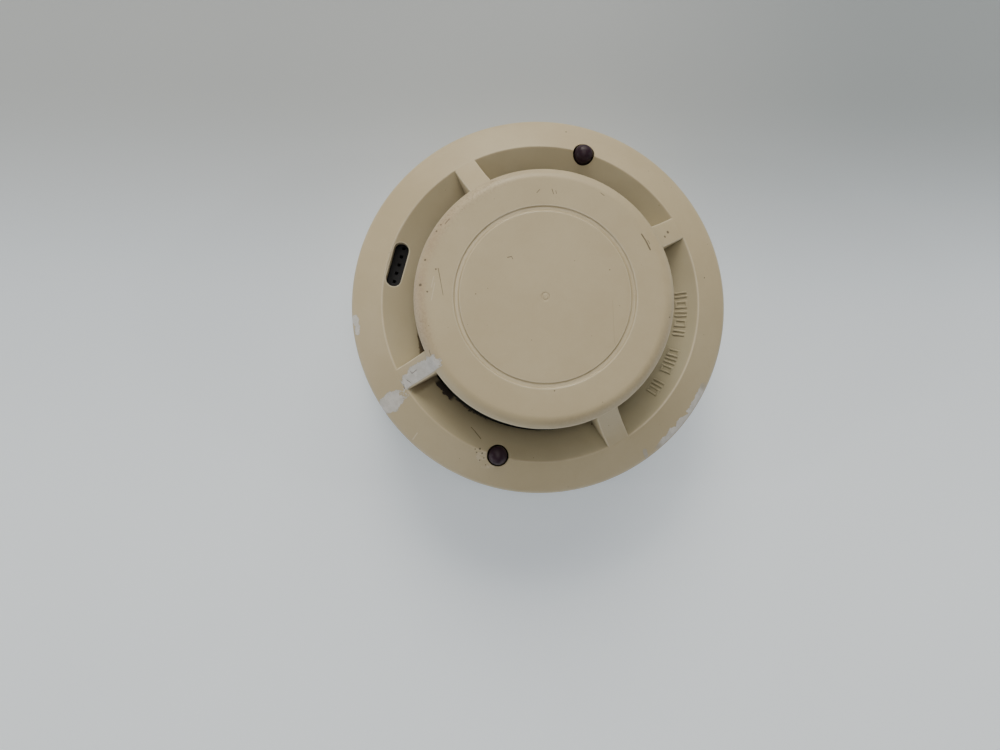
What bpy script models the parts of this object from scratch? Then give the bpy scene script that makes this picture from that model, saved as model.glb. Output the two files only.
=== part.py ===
"""Ceiling heat detector: a plug-in head with a push-fit cover, on a bayonet base.

Frame: metres, +Z points from the mounting face into the room, and the origin
is at the centre of the base's mounting face.  The two indicator lamps are on
the Y axis and the test slot is on the -X side.  In the comments, "top" and
"above" mean towards +Z.
"""
import bpy
import bmesh
from math import cos, sin, pi, radians
from mathutils import Matrix, Vector

for stale in list(bpy.data.objects):
    bpy.data.objects.remove(stale, do_unlink=True)

MM = 0.001    # dimensions are in millimetres and degrees; meshes are in metres


def quarters(first):
    """Four angles a quarter turn apart."""
    return [first + 90.0 * k for k in range(4)]


def around(angle, half_span):
    """The pair of angles that lie half_span either side of an angle."""
    return angle - half_span, angle + half_span


def polar(radius, angle):
    turn = radians(angle)
    return radius * cos(turn), radius * sin(turn)


# --------------------------------------------------------- shared dimensions
# A name ending in _Z is a (bottom, top) pair of heights.
GAP = 0.3                 # free gap between nested or touching pieces
CENTRE = (0.0, 0.0)
BIG_STEPS = 56            # facets round the cover, base and chassis
GUARD_STEPS = 32

BASE_FLOOR = 2.5          # top of the base's floor

# bayonet
LUG_ANGLES = quarters(45.0)   # lugs in the locked position
LUG_SPAN = 12.0
LUG_Z = (8.5, 11.6)
TWIST = 18.0              # travel from locked to released

# terminals
TERMINALS = quarters(0.0)
SCREW_OFFSET = -20.0      # terminal screw, degrees from its blade
SCREW_R = 33.0
SCREW_HOLE_R = 1.8        # clears the terminal screw's shank
BLADE_R = 33.0
BLADE_THICK, BLADE_WIDTH = 0.8, 7.0
BLADE_SCREW_R = 26.0      # pitch radius of the blade screws
BLADE_HOLE_R = 1.4

# release lever
LEVER_R, LEVER_ANGLE = 47.7, -112.0    # pivot
LEVER_SPAN = 22.0
LEVER_END = LEVER_ANGLE + LEVER_SPAN
LEVER_TIP = LEVER_END - 2.5            # middle of the nib at the free end
LEVER_X, LEVER_Y = polar(LEVER_R, LEVER_ANGLE)
LEVER_PIN_R = 0.7

# circuit board
BOARD_Z = (19.8, 21.4)
BOARD_UNDER = BOARD_Z[0] - GAP    # where parts below the board stop
BOARD_OVER = BOARD_Z[1] + GAP     # where parts above the board start
POSTS = [polar(21.0, angle) for angle in (45.0, 165.0, 285.0)]

# features that the cover shares with the pieces under it
TAB_ANGLES = quarters(22.0)
LED_ANGLES = [90.0, 270.0]
LED_PITCH_R = 42.7
TEST_ANGLE = 180.9
TEST_R = 40.2


# ------------------------------------------------------------------ materials
def material(name, rgb, roughness, metallic=0.0):
    finish = bpy.data.materials.new(name)
    finish.use_nodes = True
    inputs = finish.node_tree.nodes["Principled BSDF"].inputs
    inputs["Base Color"].default_value = (*rgb, 1.0)
    inputs["Roughness"].default_value = roughness
    inputs["Metallic"].default_value = metallic
    finish.diffuse_color = (*rgb, 1.0)
    return finish


CREAM = material("cream_abs", rgb=(0.55, 0.47, 0.34), roughness=0.42)
CREAM_DARK = material("cream_abs_base", rgb=(0.52, 0.44, 0.31), roughness=0.48)
IVORY = material("ivory_abs", rgb=(0.60, 0.55, 0.44), roughness=0.45)
BLACK = material("black_plastic", rgb=(0.012, 0.012, 0.013), roughness=0.45)
EPOXY = material("black_epoxy", rgb=(0.02, 0.02, 0.02), roughness=0.55)
GREEN = material("green_board", rgb=(0.02, 0.13, 0.05), roughness=0.35)
LENS = material("dark_red_lens", rgb=(0.10, 0.006, 0.012), roughness=0.12)
STEEL = material("plated_steel", rgb=(0.62, 0.62, 0.60), roughness=0.28, metallic=1.0)
BRASS = material("tinned_brass", rgb=(0.72, 0.60, 0.36), roughness=0.30, metallic=1.0)
GLAZE = material("thermistor_glaze", rgb=(0.05, 0.16, 0.09), roughness=0.25)
NYLON = material("white_nylon", rgb=(0.72, 0.71, 0.66), roughness=0.5)
SLEEVE = material("capacitor_sleeve", rgb=(0.03, 0.05, 0.13), roughness=0.35)
BLUE = material("varistor_coating", rgb=(0.02, 0.12, 0.45), roughness=0.4)
GLASS = material("reed_glass", rgb=(0.55, 0.68, 0.60), roughness=0.08)


# ------------------------------------------------------------- solid builders
# Each adds a closed solid to the bmesh "body"; heights are (bottom, top).
def spun(body, profile, steps):
    """Turn a closed (r, z) profile about Z; points with r = 0 become poles."""
    verts = [body.verts.new((r * MM, 0.0, z * MM)) for r, z in profile]
    edges = []
    for start, end in zip(verts, verts[1:] + verts[:1]):
        if start.co.x == 0.0 and end.co.x == 0.0:
            continue    # no edge along the axis
        edges.append(body.edges.new((start, end)))
    bmesh.ops.spin(body, geom=verts + edges, cent=(0, 0, 0), axis=(0, 0, 1),
                   angle=2 * pi, steps=steps, use_merge=True,
                   use_duplicate=False)
    bmesh.ops.remove_doubles(body, verts=body.verts[:], dist=2e-6)
    bmesh.ops.recalc_face_normals(body, faces=body.faces[:])


def thickened(body, points, offset):
    """Fill an outline given in metres, extrude it and return its vertices."""
    near = [body.verts.new(point) for point in points]
    face = body.faces.new(near)
    out = bmesh.ops.extrude_face_region(body, geom=[face])
    far = [item for item in out["geom"] if isinstance(item, bmesh.types.BMVert)]
    bmesh.ops.translate(body, verts=far, vec=offset)
    bmesh.ops.recalc_face_normals(body, faces=body.faces[:])
    return near + far


def prism(body, outline, heights):
    """Raise a flat (x, y) outline from one height to another."""
    bottom, top = heights
    points = [(x * MM, y * MM, bottom * MM) for x, y in outline]
    return thickened(body, points, (0, 0, (top - bottom) * MM))


def plate(body, outline, width, angle):
    """A plate standing on a radius: an (r, z) outline with a width."""
    points = [(r * MM, -width / 2 * MM, z * MM) for r, z in outline]
    verts = thickened(body, points, (0, width * MM, 0))
    bmesh.ops.rotate(body, verts=verts, cent=(0, 0, 0),
                     matrix=Matrix.Rotation(radians(angle), 3, 'Z'))


def sector(body, radii, angles, heights, steps):
    """A piece of a ring between two radii, two angles and two heights."""
    start, end = angles
    span = end - start
    inner = [polar(radii[0], start + span * i / steps) for i in range(steps + 1)]
    outer = [polar(radii[1], end - span * i / steps) for i in range(steps + 1)]
    prism(body, inner + outer, heights)


def turned_about(centre, angle, points):
    """Turn local (x, y) points by an angle and move them to a centre."""
    c, s = cos(radians(angle)), sin(radians(angle))
    return [(centre[0] + x * c - y * s, centre[1] + x * s + y * c)
            for x, y in points]


def box(body, centre, size, heights, turn=0.0, bevel=0.0):
    """An upright box of a given (x, y) size, turned about its own axis."""
    corners = [(side_x * size[0] / 2, side_y * size[1] / 2)
               for side_x, side_y in ((-1, -1), (1, -1), (1, 1), (-1, 1))]
    verts = prism(body, turned_about(centre, turn, corners), heights)
    if bevel:
        edges = list({edge for vert in verts for edge in vert.link_edges})
        bmesh.ops.bevel(body, geom=edges, offset=bevel * MM, segments=1,
                        affect='EDGES')


def drum(body, centre, radius, heights, sides):
    """An upright round bar."""
    bottom, top = heights
    out = bmesh.ops.create_cone(body, cap_ends=True, segments=sides,
                                radius1=radius * MM, radius2=radius * MM,
                                depth=(top - bottom) * MM)
    bmesh.ops.translate(body, verts=out["verts"],
                        vec=(centre[0] * MM, centre[1] * MM,
                             (bottom + top) / 2 * MM))


def stadium(centre, length, width, angle, steps=8):
    """Outline of a slot with round ends; its length runs along the angle."""
    radius, reach = width / 2, (length - width) / 2
    points = []
    for side in (1, -1):
        for k in range(steps + 1):
            turn = -side * pi / 2 + pi * k / steps
            points.append((side * reach + radius * cos(turn), radius * sin(turn)))
    return turned_about(centre, angle, points)


def ellipsoid(body, radius, middle, half_height, rings, steps):
    """An upright ellipsoid on the Z axis."""
    profile = [(0, middle - half_height)]
    for k in range(1, rings):
        turn = -pi / 2 + pi * k / rings
        profile.append((radius * cos(turn), middle + half_height * sin(turn)))
    profile.append((0, middle + half_height))
    spun(body, profile, steps)


# ------------------------------------------------------- meshes and placement
def mesh_of(name, build):
    body = bmesh.new()
    build(body)
    bmesh.ops.recalc_face_normals(body, faces=body.faces[:])
    mesh = bpy.data.meshes.new(name)
    body.to_mesh(mesh)
    body.free()
    return mesh


def copy_of(mesh):
    """A builder that starts from a finished mesh."""
    return lambda body: body.from_mesh(mesh)


def linked(name, mesh):
    obj = bpy.data.objects.new(name, mesh)
    bpy.context.scene.collection.objects.link(obj)
    return obj


def shaped(name, build, add=None, cut=None):
    """Build a mesh, unite it with the 'add' bodies, then take 'cut' away."""
    blank = linked(name + "_blank", mesh_of(name, build))
    tools = []
    for operation, maker in (("UNION", add), ("DIFFERENCE", cut)):
        if maker is None:
            continue
        tool = linked(name + "_" + operation.lower(),
                      mesh_of(name + "_tool", maker))
        tool.hide_render = True
        tools.append(tool)
        boolean = blank.modifiers.new(operation.lower(), 'BOOLEAN')
        boolean.operation = operation
        boolean.solver = 'EXACT'
        boolean.use_self = operation == "UNION"    # added bodies may overlap
        boolean.object = tool
    mesh = blank.data
    if tools:
        bpy.context.view_layer.update()
        graph = bpy.context.evaluated_depsgraph_get()
        mesh = bpy.data.meshes.new_from_object(blank.evaluated_get(graph))
        mesh.name = name
    for obj in tools + [blank]:
        bpy.data.objects.remove(obj, do_unlink=True)

    body = bmesh.new()
    body.from_mesh(mesh)
    bmesh.ops.remove_doubles(body, verts=body.verts[:], dist=4e-6)
    bmesh.ops.dissolve_degenerate(body, dist=2e-6, edges=body.edges[:])
    bmesh.ops.triangulate(body, faces=[f for f in body.faces if len(f.verts) > 4])
    body.to_mesh(mesh)
    body.free()
    return mesh


def place(name, mesh, finish, parent, at=(0, 0, 0), turn=0.0):
    """Put a mesh, which several objects may share, in the scene."""
    if not mesh.materials:
        mesh.materials.append(finish)
    mesh.shade_smooth()
    mesh.set_sharp_from_angle(angle=radians(32))
    obj = linked(name, mesh)
    obj.parent = parent
    obj.location = Vector(at) * MM
    obj.rotation_euler = (0, 0, radians(turn))


def frame_empty(name, at=(0, 0, 0), parent=None):
    empty = linked(name, None)
    empty.empty_display_size = 0.01
    empty.location = Vector(at) * MM
    empty.parent = parent
    return empty


base_frame = frame_empty("base_frame")
head_axis = frame_empty("head_twist_axis", parent=base_frame)
cover_axis = frame_empty("cover_lift_axis", parent=head_axis)
lever_axis = frame_empty("release_lever_axis", (LEVER_X, LEVER_Y, 0), base_frame)

# ================================================================= base body
BASE_R = 52.0                 # largest radius of the skirt
BASE_FOOT_R = 50.9            # skirt radius at the mounting face
BASE_H = 17.0                 # height of the skirt's top edge
SKIRT_IN_R = 49.8
WIRE_HOLE_R = 20.0            # opening for the field wiring
COLLAR_R, COLLAR_TOP = WIRE_HOLE_R + 1.6, 4.2    # raised edge of the opening
RING_IN_R, RING_OUT_R = 43.6, 45.6               # bayonet ring
RING_TOP = 14.0
RING_ROOT_R = RING_IN_R + 0.8     # ledges and stops reach this far into the ring
LEDGE_IN_R, LEDGE_HALF_SPAN = 40.8, 7
LEDGE_Z = (12.0, RING_TOP - 0.1)
STOP_IN_R, STOP_SPAN = 41.0, 3
STOP_CLEAR = LUG_SPAN / 2 + 0.6   # from a lug's middle to a stop's face
FLOOR_ROOT = BASE_FLOOR - 0.5     # stops and pin start inside the floor
FIXING_ANGLES = (135.0, 315.0)
FIXING_R, FIXING_W = 30.0, 4.5    # arc slots: pitch radius and width
FIXING_FROM, FIXING_TO = -8, 14   # ends of a slot, from its fixing angle
FIXING_HEAD_R = 4.2
FLOOR_CUT_Z = (-1, 6)             # right through the floor


def base_shell(body):
    spun(body, [
        (WIRE_HOLE_R, 0), (BASE_FOOT_R - 0.4, 0), (BASE_FOOT_R, 0.5),
        (BASE_R, 8.0), (BASE_R, BASE_H - 0.4), (BASE_R - 0.4, BASE_H),
        (SKIRT_IN_R, BASE_H), (SKIRT_IN_R, BASE_FLOOR),
        (RING_OUT_R, BASE_FLOOR), (RING_OUT_R, RING_TOP),
        (RING_IN_R, RING_TOP), (RING_IN_R, BASE_FLOOR),
        (COLLAR_R, BASE_FLOOR), (COLLAR_R, COLLAR_TOP),
        (WIRE_HOLE_R, COLLAR_TOP)], BIG_STEPS)


def base_additions(body):
    for lug in LUG_ANGLES:
        # ledge that holds the locked lug, rooted in the bayonet ring
        sector(body, (LEDGE_IN_R, RING_ROOT_R), around(lug, LEDGE_HALF_SPAN),
               LEDGE_Z, 3)
        # stops at both ends of the twist
        for start in (lug - STOP_CLEAR - STOP_SPAN, lug + TWIST + STOP_CLEAR):
            sector(body, (STOP_IN_R, RING_ROOT_R), (start, start + STOP_SPAN),
                   (FLOOR_ROOT, LUG_Z[1]), 1)
    # pin the release lever flexes about
    drum(body, (LEVER_X, LEVER_Y), LEVER_PIN_R, (FLOOR_ROOT, 12.6), 12)


def base_cuts(body):
    for angle in TERMINALS:
        drum(body, polar(SCREW_R, angle + SCREW_OFFSET), SCREW_HOLE_R, (0.5, 6.0), 12)
    for angle in FIXING_ANGLES:
        sector(body, (FIXING_R - FIXING_W / 2, FIXING_R + FIXING_W / 2),
               (angle + FIXING_FROM, angle + FIXING_TO), FLOOR_CUT_Z, 6)
    # screwdriver window through the skirt, outside the lever's free end
    box(body, polar(51.0, LEVER_TIP), (6.0, 3.6), (9.0, 12.0), LEVER_TIP)


def base_entry_cuts(body):
    """Round entries for the fixing screws' heads, over the slots' ends."""
    for angle in FIXING_ANGLES:
        drum(body, polar(FIXING_R, angle + FIXING_FROM), FIXING_HEAD_R,
             FLOOR_CUT_Z, 20)


slotted_base = shaped("base_body", base_shell, base_additions, base_cuts)
place("base_body", shaped("base_body", copy_of(slotted_base), cut=base_entry_cuts),
      CREAM_DARK, base_frame)

# ------------------------------------------------------ terminals in the base
CONTACT_Z = (2.8, 3.4)
LEAF_Z = (2.9, 6.9)
CLAMP_Z = (4.1, 4.8)
CLAMP_SIDE = 6.6


def contact_foot(body):
    sector(body, (29.6, 37.2), (SCREW_OFFSET - 5.5, SCREW_OFFSET + 8.0), CONTACT_Z, 3)


def contact_leaf(body):
    sector(body, (34.1, 34.6), (SCREW_OFFSET + 6.8, 7.0), LEAF_Z, 6)


def contact_hole(body):
    drum(body, polar(SCREW_R, SCREW_OFFSET), SCREW_HOLE_R, (2.0, 5.0), 12)


def clamp_plate(body):
    box(body, CENTRE, (CLAMP_SIDE, CLAMP_SIDE), CLAMP_Z)


def clamp_lips(body):
    for side in (-1, 1):
        box(body, (side * 3.0, 0), (0.6, 6.0), (3.75, 4.5))


def clamp_hole(body):
    drum(body, CENTRE, SCREW_HOLE_R, (3, 6), 12)


def screw_mesh(name, head_radius, head_height, shank_radius, shank_length):
    """Pan-head screw: the head's underside is at z = 0, the shank below."""
    def turned(body):
        spun(body, [(0, -shank_length), (shank_radius, -shank_length),
                    (shank_radius, 0), (head_radius, 0),
                    (head_radius, head_height * 0.55),
                    (head_radius * 0.7, head_height), (0, head_height)], 12)

    def cross_recess(body):
        near, far = head_radius * 0.24 / 2, head_radius * 1.1 / 2
        prism(body, [(far, -near), (far, near), (near, near),
                     (near, far), (-near, far), (-near, near),
                     (-far, near), (-far, -near), (-near, -near),
                     (-near, -far), (near, -far), (near, -near)],
              (head_height * 0.45, head_height + 1))

    return shaped(name, turned, cut=cross_recess)


contact_mesh = shaped("contact_spring", contact_foot, contact_leaf, contact_hole)
clamp_mesh = shaped("wire_clamp", clamp_plate, clamp_lips, clamp_hole)
terminal_screw_mesh = screw_mesh("terminal_screw", head_radius=3.0, head_height=1.7,
                                 shank_radius=1.5, shank_length=4.4)
for i, terminal in enumerate(TERMINALS, 1):
    screw_angle = terminal + SCREW_OFFSET
    x, y = polar(SCREW_R, screw_angle)
    place(f"contact_spring_{i}", contact_mesh, BRASS, base_frame, turn=terminal)
    place(f"wire_clamp_{i}", clamp_mesh, STEEL, base_frame, (x, y, 0), screw_angle)
    place(f"terminal_screw_{i}", terminal_screw_mesh, STEEL, base_frame,
          (x, y, CLAMP_Z[1] + GAP), screw_angle + 15 * i)

# --------------------------------------------------------------- release lever
LEVER_Z = (8.0, 12.4)


def lever_arm(body):
    sector(body, (47.8, 49.2), (LEVER_ANGLE + 0.6, LEVER_END), LEVER_Z, 6)
    bmesh.ops.translate(body, verts=body.verts[:],
                        vec=(-LEVER_X * MM, -LEVER_Y * MM, 0))


def lever_boss_and_nib(body):
    drum(body, CENTRE, 1.6, LEVER_Z, 20)
    x, y = polar(47.6, LEVER_TIP)
    box(body, (x - LEVER_X, y - LEVER_Y), (1.4, 2.4), (8.6, 11.8), LEVER_TIP)


def lever_bore(body):
    drum(body, CENTRE, LEVER_PIN_R + GAP, (7, 14), 16)


place("release_lever",
      shaped("release_lever", lever_arm, lever_boss_and_nib, lever_bore),
      CREAM_DARK, lever_axis)

# ==================================================================== chassis
PLUG_R = 39.2
PLUG_BOTTOM = 7.5
PLUG_WALL = 2.0
PLUG_IN_R, PLUG_FLOOR = PLUG_R - PLUG_WALL, PLUG_BOTTOM + PLUG_WALL
RIM_R = 49.3
RIM_Z = (16.0, 18.0)
LUG_R = 43.2
POST_R, POST_BORE_R = 3.0, 1.5
BLADE_CLEAR = 0.4         # each side of a blade in its slot


def chassis_shell(body):
    spun(body, [
        (0, PLUG_BOTTOM), (PLUG_R - 0.5, PLUG_BOTTOM), (PLUG_R, PLUG_BOTTOM + 0.5),
        (PLUG_R, RIM_Z[0]), (RIM_R - 0.3, RIM_Z[0]), (RIM_R, RIM_Z[0] + 0.3),
        (RIM_R, RIM_Z[1]), (PLUG_IN_R, RIM_Z[1]), (PLUG_IN_R, PLUG_FLOOR),
        (0, PLUG_FLOOR)], BIG_STEPS)


def chassis_additions(body):
    """Bayonet lugs and the posts that carry the board."""
    for angle in LUG_ANGLES:
        sector(body, (PLUG_R - 1.0, LUG_R), around(angle, LUG_SPAN / 2), LUG_Z, 3)
    for post in POSTS:
        drum(body, post, POST_R, (PLUG_BOTTOM + 1.0, BOARD_UNDER), 16)


def chassis_cuts(body):
    """Rim gaps at the cover's tabs, post bores, blade slots and screw holes."""
    for angle in TAB_ANGLES:
        sector(body, (46.8, 50.5), around(angle, 4.2), (15, 19), 2)
    for post in POSTS:
        drum(body, post, POST_BORE_R, (12.5, 24), 12)
    slot_size = (BLADE_THICK + 2 * BLADE_CLEAR, BLADE_WIDTH + 2 * BLADE_CLEAR)
    for angle in TERMINALS:
        box(body, polar(BLADE_R, angle), slot_size, (6, 11), angle)
        drum(body, polar(BLADE_SCREW_R, angle), BLADE_HOLE_R, (8.0, 12), 12)


place("chassis", shaped("chassis", chassis_shell, chassis_additions, chassis_cuts),
      IVORY, head_axis)

# ------------------------------------------------------------ contact blades
BLADE_Z = (3.4, 10.6)
BLADE_SEAT = BLADE_Z[1] + GAP     # start of the parts on the blade's foot
LINK_R = 30.4


def blade_upright(body):
    box(body, (BLADE_R, 0), (BLADE_THICK, BLADE_WIDTH), BLADE_Z)


def blade_foot(body):
    box(body, (28.2, 0), (9.4, 5.6), (BLADE_Z[1] - BLADE_THICK, BLADE_Z[1]))


def blade_hole(body):
    drum(body, (BLADE_SCREW_R, 0), BLADE_HOLE_R, (9, 12), 12)


def link_bar(body):
    box(body, CENTRE, (1.8, 0.7), (BLADE_SEAT, BOARD_UNDER), bevel=0.12)


blade_mesh = shaped("terminal_blade", blade_upright, blade_foot, blade_hole)
blade_screw_mesh = screw_mesh("blade_screw", head_radius=2.2, head_height=1.4,
                              shank_radius=1.1, shank_length=2.6)
link_mesh = shaped("board_link", link_bar)
for i, terminal in enumerate(TERMINALS, 1):
    place(f"terminal_blade_{i}", blade_mesh, BRASS, head_axis, turn=terminal)
    place(f"blade_screw_{i}", blade_screw_mesh, STEEL, head_axis,
          (*polar(BLADE_SCREW_R, terminal), BLADE_SEAT), terminal + 20 * i)
    place(f"board_link_{i}", link_mesh, BRASS, head_axis,
          (*polar(LINK_R, terminal), 0), terminal + 90)

# --------------------------------------------------------------- circuit board
BOARD_R = 46.0
BOARD_HOLE_R = 1.6
BOARD_CUT_Z = (18, 23)


def board_disc(body):
    bottom, top = BOARD_Z
    spun(body, [(0, bottom), (BOARD_R, bottom), (BOARD_R, top), (0, top)], 48)


def board_cuts(body):
    for post in POSTS:
        drum(body, post, BOARD_HOLE_R, BOARD_CUT_Z, 12)
    # notches that clear the moulded feet of the cover's snap tabs
    for angle in TAB_ANGLES:
        sector(body, (45.2, 47), around(angle, 3.0), BOARD_CUT_Z, 1)


place("circuit_board", shaped("circuit_board", board_disc, cut=board_cuts),
      GREEN, head_axis)

board_screw_mesh = screw_mesh("board_screw", head_radius=2.6, head_height=1.6,
                              shank_radius=1.2, shank_length=7.0)
for i, post in enumerate(POSTS, 1):
    place(f"board_screw_{i}", board_screw_mesh, STEEL, head_axis,
          (*post, BOARD_OVER), 25 * i)

# ---------------------------------------------------------------------- lamps
LAMP_R = 2.5
LAMP_Z = (24.3, 32.6)
LAMP_COLLAR_R, LAMP_COLLAR_H = 2.9, 1.0


def lamp_body(body):
    bottom, top = LAMP_Z
    collar_top = bottom + LAMP_COLLAR_H
    profile = [(0, bottom), (LAMP_COLLAR_R, bottom), (LAMP_COLLAR_R, collar_top),
               (LAMP_R, collar_top), (LAMP_R, top - LAMP_R)]
    for k in (1, 2):
        turn = pi / 2 * k / 3
        profile.append((LAMP_R * cos(turn), top - LAMP_R + LAMP_R * sin(turn)))
    profile.append((0, top))
    spun(body, profile, 18)


def lead_pair(body, half_pitch, side, top):
    """Two square leads standing just above the board."""
    for sign in (-1, 1):
        box(body, (sign * half_pitch, 0), (side, side), (BOARD_OVER, top))


def lamp_leads(body):
    lead_pair(body, half_pitch=1.27, side=0.5, top=24.8)


lamp_mesh = shaped("led", lamp_body, lamp_leads)
for i, angle in enumerate(LED_ANGLES, 1):
    place(f"led_{i}", lamp_mesh, LENS, head_axis,
          (*polar(LED_PITCH_R, angle), 0), angle + 90)

# ---------------------------------------------------------------- test socket
POCKET_COUNT, POCKET_PITCH, POCKET_SIDE = 5, 2.4, 1.2


def socket_block(body):
    box(body, polar(TEST_R + 0.4, TEST_ANGLE), (4.6, 13.6), (BOARD_OVER, 25.3),
        bevel=0.2)


def socket_pockets(body):
    for k in range(POCKET_COUNT):
        y = (k - POCKET_COUNT // 2) * POCKET_PITCH
        box(body, (-TEST_R - 0.2, y), (POCKET_SIDE, POCKET_SIDE), (22.6, 26))


place("test_socket", shaped("test_socket", socket_block, cut=socket_pockets),
      BLACK, head_axis)

# ------------------------------------------------------------------ air guard
GUARD_R = 33.6
GUARD_BORE_R = 3.0
GUARD_TOP = BOARD_OVER + 1.3
GUARD_BEAD_TOP = BOARD_OVER + 1.9        # raised bead at the fins' feet
GUARD_RECESS = BOARD_OVER + 0.3          # shallow recess in the underside
GUARD_RING_IN_R, GUARD_RING_R = 29.0, 31.1
GUARD_RING_Z = (35.5, 37.0)
FIN_COUNT, FIN_PITCH = 12, 30.0


def guard_disc(body):
    spun(body, [
        (GUARD_BORE_R, BOARD_OVER), (17.0, BOARD_OVER), (17.0, GUARD_RECESS),
        (25.0, GUARD_RECESS), (25.0, BOARD_OVER), (GUARD_R, BOARD_OVER),
        (GUARD_R, GUARD_TOP), (GUARD_RING_R, GUARD_TOP),
        (GUARD_RING_R, GUARD_BEAD_TOP), (GUARD_RING_IN_R, GUARD_BEAD_TOP),
        (GUARD_RING_IN_R, GUARD_TOP), (GUARD_BORE_R, GUARD_TOP)], GUARD_STEPS)


def guard_fins(body):
    for k in range(FIN_COUNT):
        sector(body, (29.3, 30.8), around(FIN_PITCH * k, 6.0),
               (BOARD_OVER + 1.0, 35.9), 1)


def guard_ring(body):
    """Ring that joins the tops of the fins."""
    bottom, top = GUARD_RING_Z
    spun(body, [(GUARD_RING_IN_R, bottom), (GUARD_RING_R, bottom),
                (GUARD_RING_R, top), (GUARD_RING_IN_R, top)], GUARD_STEPS)


def guard_holes(body):
    """Clearance round the board screws' heads."""
    for post in POSTS:
        drum(body, post, 3.1, (20, 25), 16)


finned_guard = shaped("air_guard", guard_disc, guard_fins, guard_holes)
place("air_guard", shaped("air_guard", copy_of(finned_guard), guard_ring),
      BLACK, head_axis)

# ----------------------------------------------------------- sensing elements
STEM_BORE_R, STEM_TOP = 1.3, 30.3
REFERENCE_PLACE = polar(40.5, 128.0)


def stem_tube(body):
    collar_top = BOARD_OVER + 1.2
    spun(body, [(STEM_BORE_R, BOARD_OVER), (2.6, BOARD_OVER), (2.6, collar_top),
                (2.2, collar_top), (2.0, STEM_TOP), (STEM_BORE_R, STEM_TOP)], 16)


def sensing_bead(body):
    ellipsoid(body, radius=1.4, middle=33.4, half_height=2.0, rings=6, steps=12)


def sensing_leads(body):
    lead_pair(body, half_pitch=0.6, side=0.4, top=33.0)


def reference_bead(body):
    ellipsoid(body, radius=1.2, middle=24.2, half_height=1.0, rings=5, steps=10)


def reference_leads(body):
    lead_pair(body, half_pitch=0.5, side=0.3, top=24.0)


place("thermistor_stem", shaped("thermistor_stem", stem_tube), NYLON, head_axis)
place("sensing_thermistor",
      shaped("sensing_thermistor", sensing_bead, sensing_leads), GLAZE, head_axis)
place("reference_thermistor",
      shaped("reference_thermistor", reference_bead, reference_leads), GLAZE,
      head_axis, (*REFERENCE_PLACE, 0))

# ------------------------------------------------------ parts under the board
REED_ANGLE = 225.0
REED_PLACE = polar(33.0, REED_ANGLE)
REED_AXIS_Z = 17.6
CAPACITOR_R = 3.15
VARISTOR_R, VARISTOR_THICK, VARISTOR_MIDDLE = 3.4, 3.0, 14.8
DRIVER_R = 2.3


def chip_block(body):
    box(body, CENTRE, (10.0, 7.6), (BOARD_UNDER - 2.3, BOARD_UNDER - 0.3), bevel=0.25)


def chip_pins(body):
    for k in range(4):
        for side in (-1, 1):
            box(body, ((k - 1.5) * 2.3, side * 4.2), (0.5, 1.6),
                (BOARD_UNDER - 1.4, BOARD_UNDER))


def capacitor_can(body):
    """Can with a chamfered bottom and a crimp groove near the board."""
    spun(body, [(0, 11.2), (2.9, 11.2), (CAPACITOR_R, 11.5), (CAPACITOR_R, 18.0),
                (2.85, 18.3), (CAPACITOR_R, 18.6), (CAPACITOR_R, BOARD_UNDER),
                (0, BOARD_UNDER)], 18)


def varistor_disc(body):
    """Disc standing on edge."""
    turns = [2 * pi * k / 24 for k in range(24)]
    plate(body, [(VARISTOR_R * cos(turn), VARISTOR_MIDDLE + VARISTOR_R * sin(turn))
                 for turn in turns], VARISTOR_THICK, 0.0)


def varistor_leads(body):
    for side in (-1, 1):
        box(body, (side * 1.8, side * 0.6), (0.6, 0.6), (16.5, BOARD_UNDER))


def bridge_block(body):
    box(body, CENTRE, (6.4, 5.0), (BOARD_UNDER - 2.9, BOARD_UNDER - 0.4), bevel=0.3)


def bridge_pins(body):
    for side_x in (-1, 1):
        for side_y in (-1, 1):
            box(body, (side_x * 2.4, side_y * 2.6), (0.7, 1.4),
                (BOARD_UNDER - 1.6, BOARD_UNDER))


def reed_capsule(body):
    """Glass capsule lying along the local X axis."""
    spun(body, [(0, -7.0), (0.8, -6.6), (1.1, -5.8),
                (1.1, 5.8), (0.8, 6.6), (0, 7.0)], 10)
    bmesh.ops.rotate(body, verts=body.verts[:], cent=(0, 0, 0),
                     matrix=Matrix.Rotation(pi / 2, 3, 'Y'))
    bmesh.ops.translate(body, verts=body.verts[:], vec=(0, 0, REED_AXIS_Z * MM))


def reed_leads(body):
    """At each end, a lead along the axis and one up to the board."""
    for side in (-1, 1):
        box(body, (side * 7.6, 0), (2.6, 0.5), around(REED_AXIS_Z, 0.25))
        box(body, (side * 8.7, 0), (0.6, 0.46), (17.4, BOARD_UNDER))


def driver_case(body):
    """Round case with one flat side."""
    prism(body, [polar(DRIVER_R, -30 + 240 * k / 12) for k in range(13)],
          (12.6, 17.2))


def driver_legs(body):
    for k in (-1, 0, 1):
        box(body, (k * 1.27, 0.2), (0.45, 0.45), (16.5, BOARD_UNDER))


# name, body, leads, material, (x, y), turn
UNDER_BOARD_PARTS = [
    ("controller_chip", chip_block, chip_pins, EPOXY, (7.0, -1.0), 20),
    ("filter_capacitor", capacitor_can, None, SLEEVE, (-9.0, 8.0), 0),
    ("surge_varistor", varistor_disc, varistor_leads, BLUE, (-7.0, -14.0), 25),
    ("bridge_rectifier", bridge_block, bridge_pins, EPOXY, (2.5, 16.0), -15),
    ("reed_switch", reed_capsule, reed_leads, GLASS, REED_PLACE, REED_ANGLE + 90),
    ("lamp_driver", driver_case, driver_legs, EPOXY, (-24.5, 14.0), 60),
]
for name, build, leads, finish, centre, turn in UNDER_BOARD_PARTS:
    place(name, shaped(name, build, leads), finish, head_axis, (*centre, 0), turn)

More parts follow.
